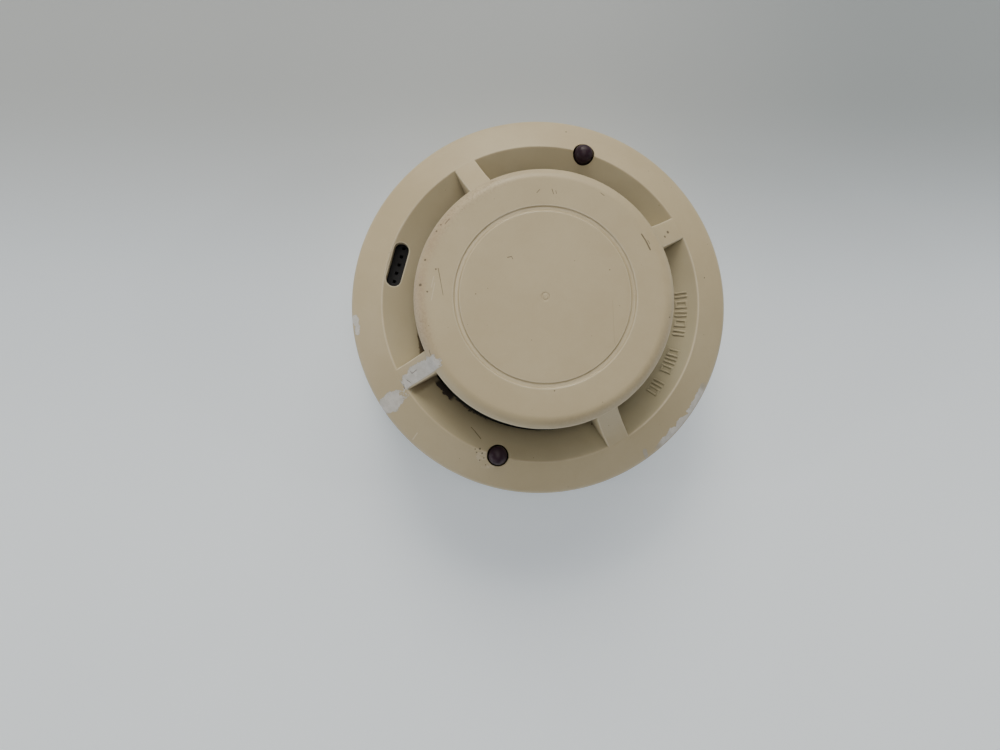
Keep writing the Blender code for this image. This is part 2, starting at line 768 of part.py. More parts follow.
# ====================================================================== cover
SHELL = 2.0
COVER_R = 51.7
COVER_IN_R = COVER_R - SHELL
COVER_BOTTOM = 17.5
EDGE_TOP = 25.0                # top of the upright outer wall
LIP_R, LIP_TOP = 42.8, 31.0    # crest between the flange and the air channel
CHAN_R, CHAN_TOP = 34.4, 26.2  # inner edge of the air channel's slope
DOME_R, DOME_TOP = 33.7, 43.0
DOME_FILLET = 3.4
DOME_BOTTOM = 33.0
DOME_IN_R, DOME_IN_TOP = 31.9, DOME_TOP - SHELL
DOME_IN_CHAMFER = 1.4
GROOVE_IN_R, GROOVE_OUT_R, GROOVE_DEPTH = 21.9, 23.4, 0.36
RIB_ANGLES = quarters(45.0)
RIB_WIDTH, TAB_WIDTH = 6.3, 4.8
LED_HOLE_R = 2.9
TEST_LENGTH, TEST_WIDTH = 12.1, 3.85
FLANGE_CUT_Z = (20, 36)        # right through the flange
# snap tab, (r, z): stepped to clear the base's skirt
TAB_OUTLINE = [(47.4, 14.8), (49.2, 14.8), (49.2, 18.4), (50.4, 18.4),
               (50.4, 23.0), (48.6, 23.0), (47.4, 20.5)]


def cover_flange(body):
    """The outer wall, the flange and the slope of its air channel."""
    spun(body, [
        (COVER_IN_R, COVER_BOTTOM), (COVER_R - 0.3, COVER_BOTTOM),
        (COVER_R, COVER_BOTTOM + 0.3), (COVER_R, EDGE_TOP),
        (COVER_R - 0.3, EDGE_TOP + 1.3), (COVER_R - 0.95, EDGE_TOP + 1.9),
        (LIP_R + 0.7, LIP_TOP - 0.2), (LIP_R, LIP_TOP),
        (LIP_R - 0.65, LIP_TOP - 0.35),
        (CHAN_R, CHAN_TOP), (CHAN_R, CHAN_TOP - 1.9), (CHAN_R + 1.0, CHAN_TOP - 1.9),
        (LIP_R + 0.1, LIP_TOP - 2.1), (COVER_IN_R, EDGE_TOP + 0.3)], BIG_STEPS)


def cover_dome(body):
    groove_floor = DOME_TOP - GROOVE_DEPTH
    profile = [(0, DOME_TOP), (GROOVE_IN_R, DOME_TOP),
               (GROOVE_IN_R + 0.3, groove_floor),
               (GROOVE_OUT_R - 0.3, groove_floor), (GROOVE_OUT_R, DOME_TOP)]
    for k in range(5):
        turn = pi / 2 * (1 - k / 4)
        profile.append((DOME_R - DOME_FILLET + DOME_FILLET * cos(turn),
                        DOME_TOP - DOME_FILLET + DOME_FILLET * sin(turn)))
    profile += [(DOME_R, DOME_BOTTOM), (DOME_IN_R, DOME_BOTTOM),
                (DOME_IN_R, DOME_IN_TOP - DOME_IN_CHAMFER),
                (DOME_IN_R - DOME_IN_CHAMFER, DOME_IN_TOP), (0, DOME_IN_TOP)]
    spun(body, profile, BIG_STEPS)


def rib_outline(steps=6):
    """Side outline of a rib: concave top from the dome's shoulder to the lip."""
    shoulder = (DOME_R - 0.7, DOME_TOP - 2.8)
    control = (DOME_R + 1.9, LIP_TOP + 3.8)
    end = (LIP_R + 0.9, LIP_TOP - 0.8)
    curve = []
    for k in range(steps + 1):
        t = k / steps
        curve.append(tuple((1 - t) ** 2 * p + 2 * t * (1 - t) * q + t * t * r
                           for p, q, r in zip(shoulder, control, end)))
    inner_r = CHAN_R - 1.7
    return curve + [(LIP_R - 0.1, LIP_TOP - 1.6), (CHAN_R + 0.9, CHAN_TOP - 1.0),
                    (inner_r, CHAN_TOP - 1.0), (inner_r, DOME_TOP - 3.2)]


def cover_ribs_and_tabs(body):
    for angle in RIB_ANGLES:
        plate(body, rib_outline(), RIB_WIDTH, angle)
    for angle in TAB_ANGLES:
        plate(body, TAB_OUTLINE, TAB_WIDTH, angle)


def cover_cuts(body):
    """Lamp holes and the test slot."""
    for angle in LED_ANGLES:
        drum(body, polar(LED_PITCH_R, angle), LED_HOLE_R, FLANGE_CUT_Z, 24)
    slot = stadium(polar(TEST_R, TEST_ANGLE), TEST_LENGTH, TEST_WIDTH, TEST_ANGLE + 90)
    prism(body, slot, FLANGE_CUT_Z)


def cover_mesh():
    """Ribs and tabs join the flange first, then the dome joins the ribs."""
    flange = shaped("cover", cover_flange)
    dome = shaped("cover_dome", cover_dome)
    ribbed = shaped("cover", copy_of(flange), cover_ribs_and_tabs)
    return shaped("cover", copy_of(ribbed), copy_of(dome), cover_cuts)


place("cover", cover_mesh(), CREAM, cover_axis)
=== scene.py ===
from math import atan2, cos, degrees, hypot, pi, radians, sin, sqrt, tan

import bmesh
import bpy
from mathutils import Matrix, Vector, noise


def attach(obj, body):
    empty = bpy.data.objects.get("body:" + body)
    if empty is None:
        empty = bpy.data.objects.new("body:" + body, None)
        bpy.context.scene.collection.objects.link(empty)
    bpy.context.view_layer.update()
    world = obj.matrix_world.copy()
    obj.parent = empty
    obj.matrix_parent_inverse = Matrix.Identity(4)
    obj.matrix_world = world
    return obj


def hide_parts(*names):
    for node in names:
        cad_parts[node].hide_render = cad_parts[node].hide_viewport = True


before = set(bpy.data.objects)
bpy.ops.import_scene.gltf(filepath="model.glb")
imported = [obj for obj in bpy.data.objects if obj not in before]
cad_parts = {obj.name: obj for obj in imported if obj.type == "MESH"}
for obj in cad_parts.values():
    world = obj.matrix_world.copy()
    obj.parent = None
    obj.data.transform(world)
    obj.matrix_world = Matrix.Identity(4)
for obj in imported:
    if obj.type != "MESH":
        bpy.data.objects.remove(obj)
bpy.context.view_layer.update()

MM = 0.001

# ------------------------------------------------------------ mesh helpers
def polar(r, deg):
    a = radians(deg)
    return r * cos(a), r * sin(a)


def rounded(points, step=14.0):
    """Round the corners of a closed (r, z) outline: points are (r, z, radius)."""
    out = []
    n = len(points)
    for i, (x, y, rad) in enumerate(points):
        if rad <= 0:
            out.append((x, y))
            continue
        px, py, _ = points[i - 1]
        qx, qy, _ = points[(i + 1) % n]
        a = Vector((px - x, py - y)); b = Vector((qx - x, qy - y))
        la, lb = a.length, b.length
        a.normalize(); b.normalize()
        ang = a.angle(b)
        if pi - ang < 0.02:
            out.append((x, y))
            continue
        d = min(rad / tan(ang / 2), la * 0.48, lb * 0.48)
        r = d * tan(ang / 2)
        c = Vector((x, y)) + (a + b).normalized() * (r / sin(ang / 2))
        s = Vector((x, y)) + a * d - c
        e = Vector((x, y)) + b * d - c
        turn = s.angle(e)
        k = max(2, int(degrees(turn) / step) + 1)
        sign = 1.0 if s.x * e.y - s.y * e.x > 0 else -1.0
        for j in range(k + 1):
            t = sign * turn * j / k
            out.append((c.x + s.x * cos(t) - s.y * sin(t),
                        c.y + s.x * sin(t) + s.y * cos(t)))
    return out


def subdivide(profile, longest):
    """Split long straight runs of a profile so the turned mesh stays even."""
    out = []
    n = len(profile)
    for i, (x, y) in enumerate(profile):
        qx, qy = profile[(i + 1) % n]
        out.append((x, y))
        if x == 0 and qx == 0:
            continue
        k = int(hypot(qx - x, qy - y) / longest)
        for j in range(1, k + 1):
            t = j / (k + 1)
            out.append((x + (qx - x) * t, y + (qy - y) * t))
    return out


def spun(bm, profile, steps):
    """Turn a closed (r, z) profile about Z into a closed mesh."""
    rings = []
    for r, z in profile:
        if r < 1e-6:
            rings.append([bm.verts.new((0, 0, z * MM))])
        else:
            rings.append([bm.verts.new((r * MM * cos(2 * pi * k / steps),
                                        r * MM * sin(2 * pi * k / steps),
                                        z * MM)) for k in range(steps)])
    n = len(rings)
    for i in range(n):
        a, b = rings[i], rings[(i + 1) % n]
        if len(a) == 1 and len(b) == 1:
            continue
        for k in range(steps):
            m = (k + 1) % steps
            if len(a) == 1:
                bm.faces.new((a[0], b[k], b[m]))
            elif len(b) == 1:
                bm.faces.new((a[k], b[0], a[m]))
            else:
                bm.faces.new((a[k], b[k], b[m], a[m]))
    bmesh.ops.recalc_face_normals(bm, faces=bm.faces[:])


def prism(bm, outline, z0, z1):
    verts = [bm.verts.new((x * MM, y * MM, z0 * MM)) for x, y in outline]
    face = bm.faces.new(verts)
    out = bmesh.ops.extrude_face_region(bm, geom=[face])
    top = [g for g in out["geom"] if isinstance(g, bmesh.types.BMVert)]
    bmesh.ops.translate(bm, verts=top, vec=(0, 0, (z1 - z0) * MM))
    return verts + top


def sector(bm, r0, r1, a0, a1, z0, z1, n=4):
    inner = [polar(r0, a0 + (a1 - a0) * i / n) for i in range(n + 1)]
    outer = [polar(r1, a1 - (a1 - a0) * i / n) for i in range(n + 1)]
    return prism(bm, inner + outer, z0, z1)


def box(bm, cx, cy, lx, ly, z0, z1, deg=0.0):
    c, s = cos(radians(deg)), sin(radians(deg))
    pts = []
    for sx, sy in ((-1, -1), (1, -1), (1, 1), (-1, 1)):
        x, y = sx * lx / 2, sy * ly / 2
        pts.append((cx + x * c - y * s, cy + x * s + y * c))
    return prism(bm, pts, z0, z1)


def drum(bm, cx, cy, r, z0, z1, n=48):
    return prism(bm, [(cx + r * cos(2 * pi * k / n), cy + r * sin(2 * pi * k / n))
                      for k in range(n)], z0, z1)


def stadium(cx, cy, length, width, deg, n=20):
    r, h = width / 2, (length - width) / 2
    pts = []
    for k in range(n + 1):
        a = -pi / 2 + pi * k / n
        pts.append((h + r * cos(a), r * sin(a)))
    for k in range(n + 1):
        a = pi / 2 + pi * k / n
        pts.append((-h + r * cos(a), r * sin(a)))
    c, s = cos(radians(deg)), sin(radians(deg))
    return [(cx + x * c - y * s, cy + x * s + y * c) for x, y in pts]


def mesh_of(name, build):
    bm = bmesh.new()
    build(bm)
    bmesh.ops.recalc_face_normals(bm, faces=bm.faces[:])
    me = bpy.data.meshes.new(name)
    bm.to_mesh(me)
    bm.free()
    return me


def shaped(name, build, add=None, cut=None):
    """Blank, then union with 'add', then minus 'cut', baked to one mesh."""
    def mesh_from(what, tag):
        if isinstance(what, bpy.types.Mesh):
            return what
        return mesh_of(name + tag, what)
    obj = bpy.data.objects.new(name + "_blank", mesh_from(build, ""))
    bpy.context.scene.collection.objects.link(obj)
    tools = []
    for kind, maker in (("UNION", add), ("DIFFERENCE", cut)):
        if maker is None:
            continue
        for one in (maker if isinstance(maker, (list, tuple)) else [maker]):
            tool = bpy.data.objects.new(name + kind, mesh_from(one, "_tool"))
            bpy.context.scene.collection.objects.link(tool)
            tools.append(tool)
            mod = obj.modifiers.new(kind, 'BOOLEAN')
            mod.operation = kind
            mod.solver = 'EXACT'
            mod.object = tool
    if tools:
        bpy.context.view_layer.update()
        graph = bpy.context.evaluated_depsgraph_get()
        me = bpy.data.meshes.new_from_object(obj.evaluated_get(graph))
        me.name = name
    else:
        me = obj.data
    for o in tools + [obj]:
        bpy.data.objects.remove(o, do_unlink=True)
    bm = bmesh.new()
    bm.from_mesh(me)
    bmesh.ops.remove_doubles(bm, verts=bm.verts[:], dist=2e-6)
    bmesh.ops.dissolve_degenerate(bm, dist=1e-6, edges=bm.edges[:])
    bmesh.ops.recalc_face_normals(bm, faces=bm.faces[:])
    bm.to_mesh(me)
    bm.free()
    return me


def piece(name, me, mat, body, nodes=(), at=(0, 0, 0), turn=0.0,
          sharp=30, bevel=0.0, segments=2):
    """Put a finished mesh in the scene, riding on its body."""
    if len(me.materials) == 0:
        me.materials.append(mat)
    me.shade_smooth()
    me.set_sharp_from_angle(angle=radians(sharp))
    obj = bpy.data.objects.new(name, me)
    bpy.context.scene.collection.objects.link(obj)
    obj.location = Vector(at) * MM
    obj.rotation_euler = (0, 0, radians(turn))
    if bevel:
        mod = obj.modifiers.new("edge_rounding", 'BEVEL')
        mod.width = bevel * MM
        mod.segments = segments
        mod.limit_method = 'ANGLE'
        mod.angle_limit = radians(35)
        mod.harden_normals = True
        mod.use_clamp_overlap = True
    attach(obj, body)
    if nodes:
        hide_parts(*nodes)
    return obj


# -------------------------------------------------------- material helpers
class Graph:
    """Small helper that wires shader nodes; values may be sockets or numbers."""

    def __init__(self, name):
        self.mat = bpy.data.materials.new(name)
        self.mat.use_nodes = True
        self.tree = self.mat.node_tree
        self.bsdf = self.tree.nodes["Principled BSDF"]
        coord = self.tree.nodes.new("ShaderNodeTexCoord")
        scale = self.tree.nodes.new("ShaderNodeVectorMath")
        scale.operation = 'SCALE'
        scale.inputs["Scale"].default_value = 1000.0
        self.tree.links.new(coord.outputs["Object"], scale.inputs[0])
        self.pos = scale.outputs[0]          # position in mm
        self.x, self.y, self.z = self.split(self.pos)

    def put(self, socket, value):
        if hasattr(value, "is_output"):
            self.tree.links.new(value, socket)
        elif value is not None:
            if hasattr(socket.default_value, "__len__") and not hasattr(value, "__len__"):
                value = (value, value, value, 1.0)[:len(socket.default_value)]
            if hasattr(value, "__len__") and len(socket.default_value) == 4 and len(value) == 3:
                value = (*value, 1.0)
            socket.default_value = value

    def split(self, vec):
        n = self.tree.nodes.new("ShaderNodeSeparateXYZ")
        self.put(n.inputs[0], vec)
        return n.outputs[0], n.outputs[1], n.outputs[2]

    def channels(self, color):
        n = self.tree.nodes.new("ShaderNodeSeparateColor")
        self.put(n.inputs[0], color)
        return n.outputs[0], n.outputs[1], n.outputs[2]

    def join(self, x, y, z):
        n = self.tree.nodes.new("ShaderNodeCombineXYZ")
        for s, v in zip(n.inputs, (x, y, z)):
            self.put(s, v)
        return n.outputs[0]

    def math(self, op, a, b=None, c=None, clamp=False):
        n = self.tree.nodes.new("ShaderNodeMath")
        n.operation = op
        n.use_clamp = clamp
        for s, v in zip(n.inputs, (a, b, c)):
            if v is not None:
                self.put(s, v)
        return n.outputs[0]

    def add(self, a, b): return self.math('ADD', a, b)
    def sub(self, a, b): return self.math('SUBTRACT', a, b)
    def mul(self, a, b): return self.math('MULTIPLY', a, b)
    def peak(self, a, b): return self.math('MAXIMUM', a, b)
    def low(self, a, b): return self.math('MINIMUM', a, b)

    def vec(self, op, a, b=None, scale=None):
        n = self.tree.nodes.new("ShaderNodeVectorMath")
        n.operation = op
        self.put(n.inputs[0], a)
        if b is not None:
            self.put(n.inputs[1], b)
        if scale is not None:
            self.put(n.inputs["Scale"], scale)
        return n.outputs["Value"] if op in ('LENGTH', 'DOT_PRODUCT', 'DISTANCE') else n.outputs[0]

    def step(self, value, lo, hi, out_lo=0.0, out_hi=1.0):
        """Smooth step from lo to hi."""
        n = self.tree.nodes.new("ShaderNodeMapRange")
        n.interpolation_type = 'SMOOTHSTEP'
        self.put(n.inputs["Value"], value)
        n.inputs["From Min"].default_value = lo
        n.inputs["From Max"].default_value = hi
        n.inputs["To Min"].default_value = out_lo
        n.inputs["To Max"].default_value = out_hi
        return n.outputs[0]

    def ramp_down(self, value, lo, hi):
        """1 below lo, 0 above hi."""
        return self.step(value, lo, hi, 1.0, 0.0)

    def noise(self, scale, detail=3.0, rough=0.55, vec=None, shift=None, distortion=0.0):
        n = self.tree.nodes.new("ShaderNodeTexNoise")
        n.inputs["Scale"].default_value = scale
        n.inputs["Detail"].default_value = detail
        n.inputs["Roughness"].default_value = rough
        n.inputs["Distortion"].default_value = distortion
        v = self.pos if vec is None else vec
        if shift:
            v = self.vec('ADD', v, shift)
        self.put(n.inputs["Vector"], v)
        return n.outputs["Fac"]

    def voronoi(self, scale, vec=None, feature='F1'):
        n = self.tree.nodes.new("ShaderNodeTexVoronoi")
        n.feature = feature
        n.inputs["Scale"].default_value = scale
        self.put(n.inputs["Vector"], self.pos if vec is None else vec)
        return n.outputs["Distance"], (n.outputs["Color"] if "Color" in n.outputs else None)

    def mix(self, fac, a, b, mode='MIX'):
        n = self.tree.nodes.new("ShaderNodeMix")
        n.data_type = 'RGBA'
        n.blend_type = mode
        n.clamp_factor = True
        rgba = [s for s in n.inputs if s.type == 'RGBA']
        self.put(n.inputs[0], fac)
        self.put(rgba[0], a)
        self.put(rgba[1], b)
        return next(s for s in n.outputs if s.type == 'RGBA')

    def bump(self, height, dist_mm, strength=1.0, normal=None):
        n = self.tree.nodes.new("ShaderNodeBump")
        n.inputs["Distance"].default_value = dist_mm * MM
        n.inputs["Strength"].default_value = strength
        self.put(n.inputs["Height"], height)
        if normal is not None:
            self.put(n.inputs["Normal"], normal)
        return n.outputs[0]

    def soft_edges(self, radius_mm, samples=6):
        n = self.tree.nodes.new("ShaderNodeBevel")
        n.samples = samples
        n.inputs["Radius"].default_value = radius_mm * MM
        return n.outputs[0]

    def occlusion(self, dist_mm, samples=6):
        n = self.tree.nodes.new("ShaderNodeAmbientOcclusion")
        n.samples = samples
        n.inputs["Distance"].default_value = dist_mm * MM
        return n.outputs["AO"]

    def blob(self, cx, cy, rx, ry, turn, edge, wobble):
        """1 inside a turned ellipse in plan whose edge is broken by 'wobble'."""
        c, s = cos(radians(turn)), sin(radians(turn))
        dx, dy = self.sub(self.x, cx), self.sub(self.y, cy)
        u = self.math('ADD', self.mul(dx, c / rx), self.mul(dy, s / rx))
        v = self.math('ADD', self.mul(dx, -s / ry), self.mul(dy, c / ry))
        d = self.math('SQRT', self.add(self.mul(u, u), self.mul(v, v)))
        d = self.add(d, wobble)
        return self.ramp_down(d, 1.0 - edge, 1.0 + edge)

    def scratch(self, x0, y0, x1, y1, width):
        """1 near the straight segment from (x0, y0) to (x1, y1) in plan."""
        lx, ly = x1 - x0, y1 - y0
        ll = lx * lx + ly * ly
        px, py = self.sub(self.x, x0), self.sub(self.y, y0)
        t = self.math('DIVIDE', self.add(self.mul(px, lx), self.mul(py, ly)), ll, clamp=True)
        ex = self.sub(px, self.mul(t, lx))
        ey = self.sub(py, self.mul(t, ly))
        d = self.math('SQRT', self.add(self.mul(ex, ex), self.mul(ey, ey)))
        return self.ramp_down(d, width * 0.4, width)

    def finish(self, color, rough, normal=None, metallic=0.0, **more):
        self.put(self.bsdf.inputs["Base Color"], color)
        self.put(self.bsdf.inputs["Roughness"], rough)
        self.put(self.bsdf.inputs["Metallic"], metallic)
        if normal is not None:
            self.put(self.bsdf.inputs["Normal"], normal)
        for key, value in more.items():
            self.put(self.bsdf.inputs[key.replace("_", " ")], value)
        return self.mat


CREAM_A = (0.579, 0.495, 0.332)
CREAM_B = (0.542, 0.460, 0.302)
GRIME_AND_SHADE = (0.115, 0.078, 0.045)


def cream_plastic(name, tint=1.0, wear=None, grime_and_shade=1.0, edge=0.28):
    """Aged cream moulded plastic: satin, slightly mottled, soiled and painted darker in corners."""
    g = Graph(name)
    broad = g.noise(0.045, 2.0)
    mottled = g.noise(0.35, 4.0, 0.6)
    fine = g.noise(3.2, 3.0, 0.6)
    a = tuple(c * tint for c in CREAM_A)
    b = tuple(c * tint for c in CREAM_B)
    color = g.mix(g.step(broad, 0.35, 0.68), a, b)
    color = g.mix(g.step(mottled, 0.30, 0.72, 0.0, 0.16), color,
                  tuple(c * k for c, k in zip(b, (0.90, 0.86, 0.78))))
    color = g.mix(g.step(fine, 0.35, 0.75, 0.0, 0.05), color, (0.30, 0.24, 0.16))
    # grime gathers where surfaces meet; the mask comes from the occlusion node, so this is also painted shade in
    # joins and corners
    occ = g.occlusion(2.2, 6)
    grime_and_shade_mask = g.mul(g.step(occ, 0.30, 0.92, 1.0, 0.0), g.step(mottled, 0.25, 0.75, 0.35, 1.0))
    color = g.mix(g.mul(grime_and_shade_mask, 0.30 * grime_and_shade), color, GRIME_AND_SHADE)
    # tiny dark specks, a few per square centimetre
    d, rnd = g.voronoi(0.42)
    pick = g.channels(rnd)
    speck = g.mul(g.ramp_down(d, 0.035, 0.075), g.step(pick[0], 0.80, 0.82))
    color = g.mix(g.mul(speck, 0.55), color, (0.10, 0.07, 0.045))
    rough = g.add(0.36, g.mul(g.noise(0.22, 3.0), 0.14))
    height = g.add(g.mul(g.noise(5.5, 2.0), 0.35), g.mul(g.noise(0.12, 2.0), 2.0))
    if wear:
        color, rough, height = wear(g, color, rough, height)
    soft = g.soft_edges(edge, 6)
    normal = g.bump(height, 0.018, 1.0, soft)
    return g.finish(color, rough, normal, Subsurface_Weight=0.0,
                    Specular_IOR_Level=0.45, Coat_Weight=0.0)


def cover_wear(g, color, rough, height):
    """Overpaint, chips, residue and scratches on the cover, with painted highlights and painted shade; places in mm.
    """
    r = g.math('SQRT', g.add(g.mul(g.x, g.x), g.mul(g.y, g.y)))
    ang = g.math('ARCTAN2', g.y, g.x)                    # -pi to pi
    coarse = g.sub(g.noise(0.55, 4.0, 0.65), 0.5)
    crisp = g.sub(g.noise(2.3, 3.0, 0.6), 0.5)
    wob = g.add(g.mul(coarse, 1.3), g.mul(crisp, 0.5))
    fleck = g.noise(1.5, 4.0, 0.7, shift=(31.0, 7.0, 3.0))

    def window(lo, hi, soft=1.5):
        """1 between two angles in degrees (-180 to 180)."""
        a = g.step(ang, radians(lo - soft), radians(lo + soft))
        b = g.step(ang, radians(hi - soft), radians(hi + soft), 1.0, 0.0)
        return g.mul(a, b)

    # one side of the cover is painted darker than the other: painted shade standing in for light falling off across
    # the part
    painted_side_shade = g.add(g.mul(g.x, 0.777), g.mul(g.y, -0.629))
    color = g.mix(g.step(painted_side_shade, -32.0, 52.0, 0.0, 1.0), color, (0.892, 0.900, 0.892), 'MULTIPLY')
    # grey dust lies in the channel; its lower-right stretch is painted darker still, a painted shadow of the dome
    p = g.math('ABSOLUTE', g.mul(g.add(g.x, g.y), 0.70711))
    q = g.math('ABSOLUTE', g.mul(g.sub(g.y, g.x), 0.70711))
    from_rib = g.low(p, q)                               # mm from the nearest rib's middle
    channel_dust_and_shade = g.mul(g.step(r, 42.2, 42.9, 1.0, 0.0), g.step(g.z, 30.7, 31.3, 1.0, 0.0))
    color = g.mix(channel_dust_and_shade, color, (0.925, 0.960, 1.0), 'MULTIPLY')
    # painted shadow: the lower-right stretch of the channel, where the dome's shadow falls
    color = g.mix(g.mul(channel_dust_and_shade, window(-52, 6, 10)), color, (0.915, 0.930, 0.935), 'MULTIPLY')

    # painted highlights: edges are painted a little paler, as glints on the slot rim, the channel's crest, the rib
    # and groove edges and the dome's lip
    d_slot_y = g.peak(g.sub(g.math('ABSOLUTE', g.add(g.y, 0.63)), 4.125), 0.0)
    d_slot_x = g.add(g.x, 40.2)
    d_slot = g.sub(g.math('SQRT', g.add(g.mul(d_slot_x, d_slot_x), g.mul(d_slot_y, d_slot_y))), 1.925)
    painted_edge_highlight = g.mul(g.step(d_slot, 0.10, 0.36, 1.0, 0.0), 0.75)
    crest = g.step(g.math('ABSOLUTE', g.sub(r, 42.78)), 0.10, 0.34, 1.0, 0.0)
    crest = g.mul(g.mul(crest, g.step(from_rib, 3.0, 3.4)), g.step(g.z, 30.0, 30.3))
    facing = g.peak(window(-34, 44, 8), g.peak(window(160, 181, 8), window(-181, -138, 8)))
    crest = g.mul(crest, g.math('MULTIPLY_ADD', facing, 0.22, 0.16))
    painted_edge_highlight = g.peak(painted_edge_highlight, crest)
    rib_edge = g.step(g.math('ABSOLUTE', g.sub(from_rib, 2.98)), 0.06, 0.26, 1.0, 0.0)
    rib_edge = g.mul(g.mul(rib_edge, g.step(r, 33.9, 34.3)), g.step(r, 43.0, 43.8, 1.0, 0.0))
    painted_edge_highlight = g.peak(painted_edge_highlight, g.mul(g.mul(rib_edge, g.step(g.z, 30.9, 31.4)), 0.30))
    groove_edge = g.peak(g.step(g.math('ABSOLUTE', g.sub(r, 23.50)), 0.06, 0.22, 1.0, 0.0),
                         g.step(g.math('ABSOLUTE', g.sub(r, 21.84)), 0.05, 0.16, 1.0, 0.0))
    painted_edge_highlight = g.peak(painted_edge_highlight, g.mul(groove_edge, 0.30))
    # painted highlight: a thin pale line along the dome's lip
    lip = g.mul(g.step(r, 33.30, 33.62), g.step(g.z, 33.6, 35.0))
    lip = g.mul(lip, g.mul(g.step(r, 33.80, 33.92, 1.0, 0.0), g.step(from_rib, 3.1, 3.4)))
    painted_edge_highlight = g.peak(painted_edge_highlight, g.mul(lip, 0.55))
    color = g.mix(g.mul(painted_edge_highlight, g.step(fleck, 0.25, 0.50, 0.55, 1.0)), color, (0.80, 0.75, 0.62))
    in_groove = g.mul(g.step(r, 21.75, 21.90), g.step(r, 23.45, 23.65, 1.0, 0.0))
    rough = g.math('MULTIPLY_ADD', in_groove, g.sub(0.11, rough), rough)

    # smudged darkening on the side of the dome that gets handled
    smear = g.mul(g.mul(window(-180, -140, 12), g.step(r, 28.5, 32.5)), g.step(r, 33.6, 34.2, 1.0, 0.0))
    smear2 = g.mul(g.mul(window(120, 181, 12), g.step(r, 28.5, 32.5)), g.step(r, 33.6, 34.2, 1.0, 0.0))
    smear = g.mul(g.peak(smear, smear2), g.step(fleck, 0.42, 0.70))
    color = g.mix(g.mul(smear, 0.55), color, (0.30, 0.20, 0.135))
    blush = g.mul(g.peak(window(-181, -138, 10), window(150, 181, 10)), g.step(g.add(r, g.mul(coarse, 3.0)), 29.6, 32.4))
    blush = g.mul(blush, g.step(r, 33.6, 34.2, 1.0, 0.0))
    color = g.mix(g.mul(blush, 0.27), color, (0.40, 0.275, 0.205))
    scuff = g.mul(g.mul(window(165, 181, 6), g.step(r, 27.5, 30.0)), g.step(fleck, 0.56, 0.66))
    scuff = g.peak(scuff, g.mul(g.mul(window(-181, -158, 5), g.step(r, 27.0, 30.0)), g.step(fleck, 0.55, 0.66)))
    scuff = g.mul(scuff, g.step(r, 33.2, 33.6, 1.0, 0.0))
    color = g.mix(g.mul(scuff, 0.40), color, (0.64, 0.53, 0.44))
    # a faint brown band just inside the lip, on the far side
    band2 = g.mul(window(-72, 12, 9), g.step(g.add(r, g.mul(coarse, 2.2)), 30.6, 32.0))
    band2 = g.mul(g.mul(band2, g.step(r, 33.1, 33.5, 1.0, 0.0)), g.step(fleck, 0.30, 0.62, 0.35, 1.0))
    color = g.mix(g.mul(band2, 0.26), color, (0.27, 0.20, 0.13))

    # overpaint: grey-white, on one rib and beside it on the flange
    c, s = cos(radians(225.0)), sin(radians(225.0))
    across = g.math('ABSOLUTE', g.sub(g.mul(g.y, c), g.mul(g.x, s)))
    on_rib = g.ramp_down(across, 2.62, 2.76)
    paint = g.mul(g.blob(-25.6, -27.7, 6.6, 3.0, 231.0, 0.05, g.mul(wob, 0.75)), on_rib)
    paint = g.mul(paint, g.step(g.add(r, g.mul(wob, 1.2)), 43.1, 43.3, 1.0, 0.0))
    paint = g.mul(paint, g.step(fleck, 0.315, 0.34))
    paint = g.peak(paint, g.blob(-31.5, -36.8, 3.6, 2.55, 229.5, 0.05, g.mul(wob, 0.8)))
    paint = g.peak(paint, g.mul(g.blob(-28.7, -33.4, 2.2, 1.5, 228.0, 0.05, wob), g.step(fleck, 0.53, 0.56)))
    paint = g.peak(paint, g.blob(-47.3, -18.2, 1.5, 1.15, 112.5, 0.08, g.mul(wob, 1.1)))
    paint = g.peak(paint, g.blob(-46.0, -20.6, 1.7, 0.75, 100.0, 0.08, g.mul(wob, 1.3)))
    rim = g.add(r, g.mul(wob, 1.3))
    ragged = g.add(rim, g.mul(g.sub(g.noise(0.28, 3.0, 0.6, shift=(5.0, 2.0, 9.0)), 0.5), 4.2))
    band = g.mul(g.step(ragged, 49.55, 49.70), window(-34.0, -10.5, 2.0))
    band = g.mul(band, g.step(r, 51.15, 51.3, 1.0, 0.0))
    paint = g.peak(paint, band)
    paint = g.peak(paint, g.mul(g.blob(38.9, -31.2, 1.3, 0.6, -52.0, 0.2, wob), 0.6))
    # on the outer wall the paint stops in a ragged line below the edge
    paint = g.mul(paint, g.step(g.add(g.z, g.mul(crisp, 1.6)), 24.4, 24.7))
    chips = g.mul(g.blob(-4.1, -43.9, 2.0, 1.2, 40.0, 0.08, g.mul(wob, 1.6)), g.step(fleck, 0.44, 0.47))
    chips = g.peak(chips, g.mul(g.blob(-1.4, -46.2, 1.8, 0.5, 20.0, 0.1, g.mul(wob, 1.6)), g.step(fleck, 0.46, 0.50)))
    paint_tone = g.mix(g.step(coarse, -0.15, 0.15), (0.570, 0.568, 0.562), (0.675, 0.672, 0.668))
    color = g.mix(g.mul(paint, 0.93), color, paint_tone)
    color = g.mix(g.mul(chips, 0.55), color, (0.62, 0.55, 0.43))
    # outline of lifted paint
    edge_dark = g.mul(g.mul(paint, g.sub(1.0, paint)), 4.0)
    color = g.mix(g.mul(edge_dark, 0.35), color, (0.22, 0.19, 0.15))

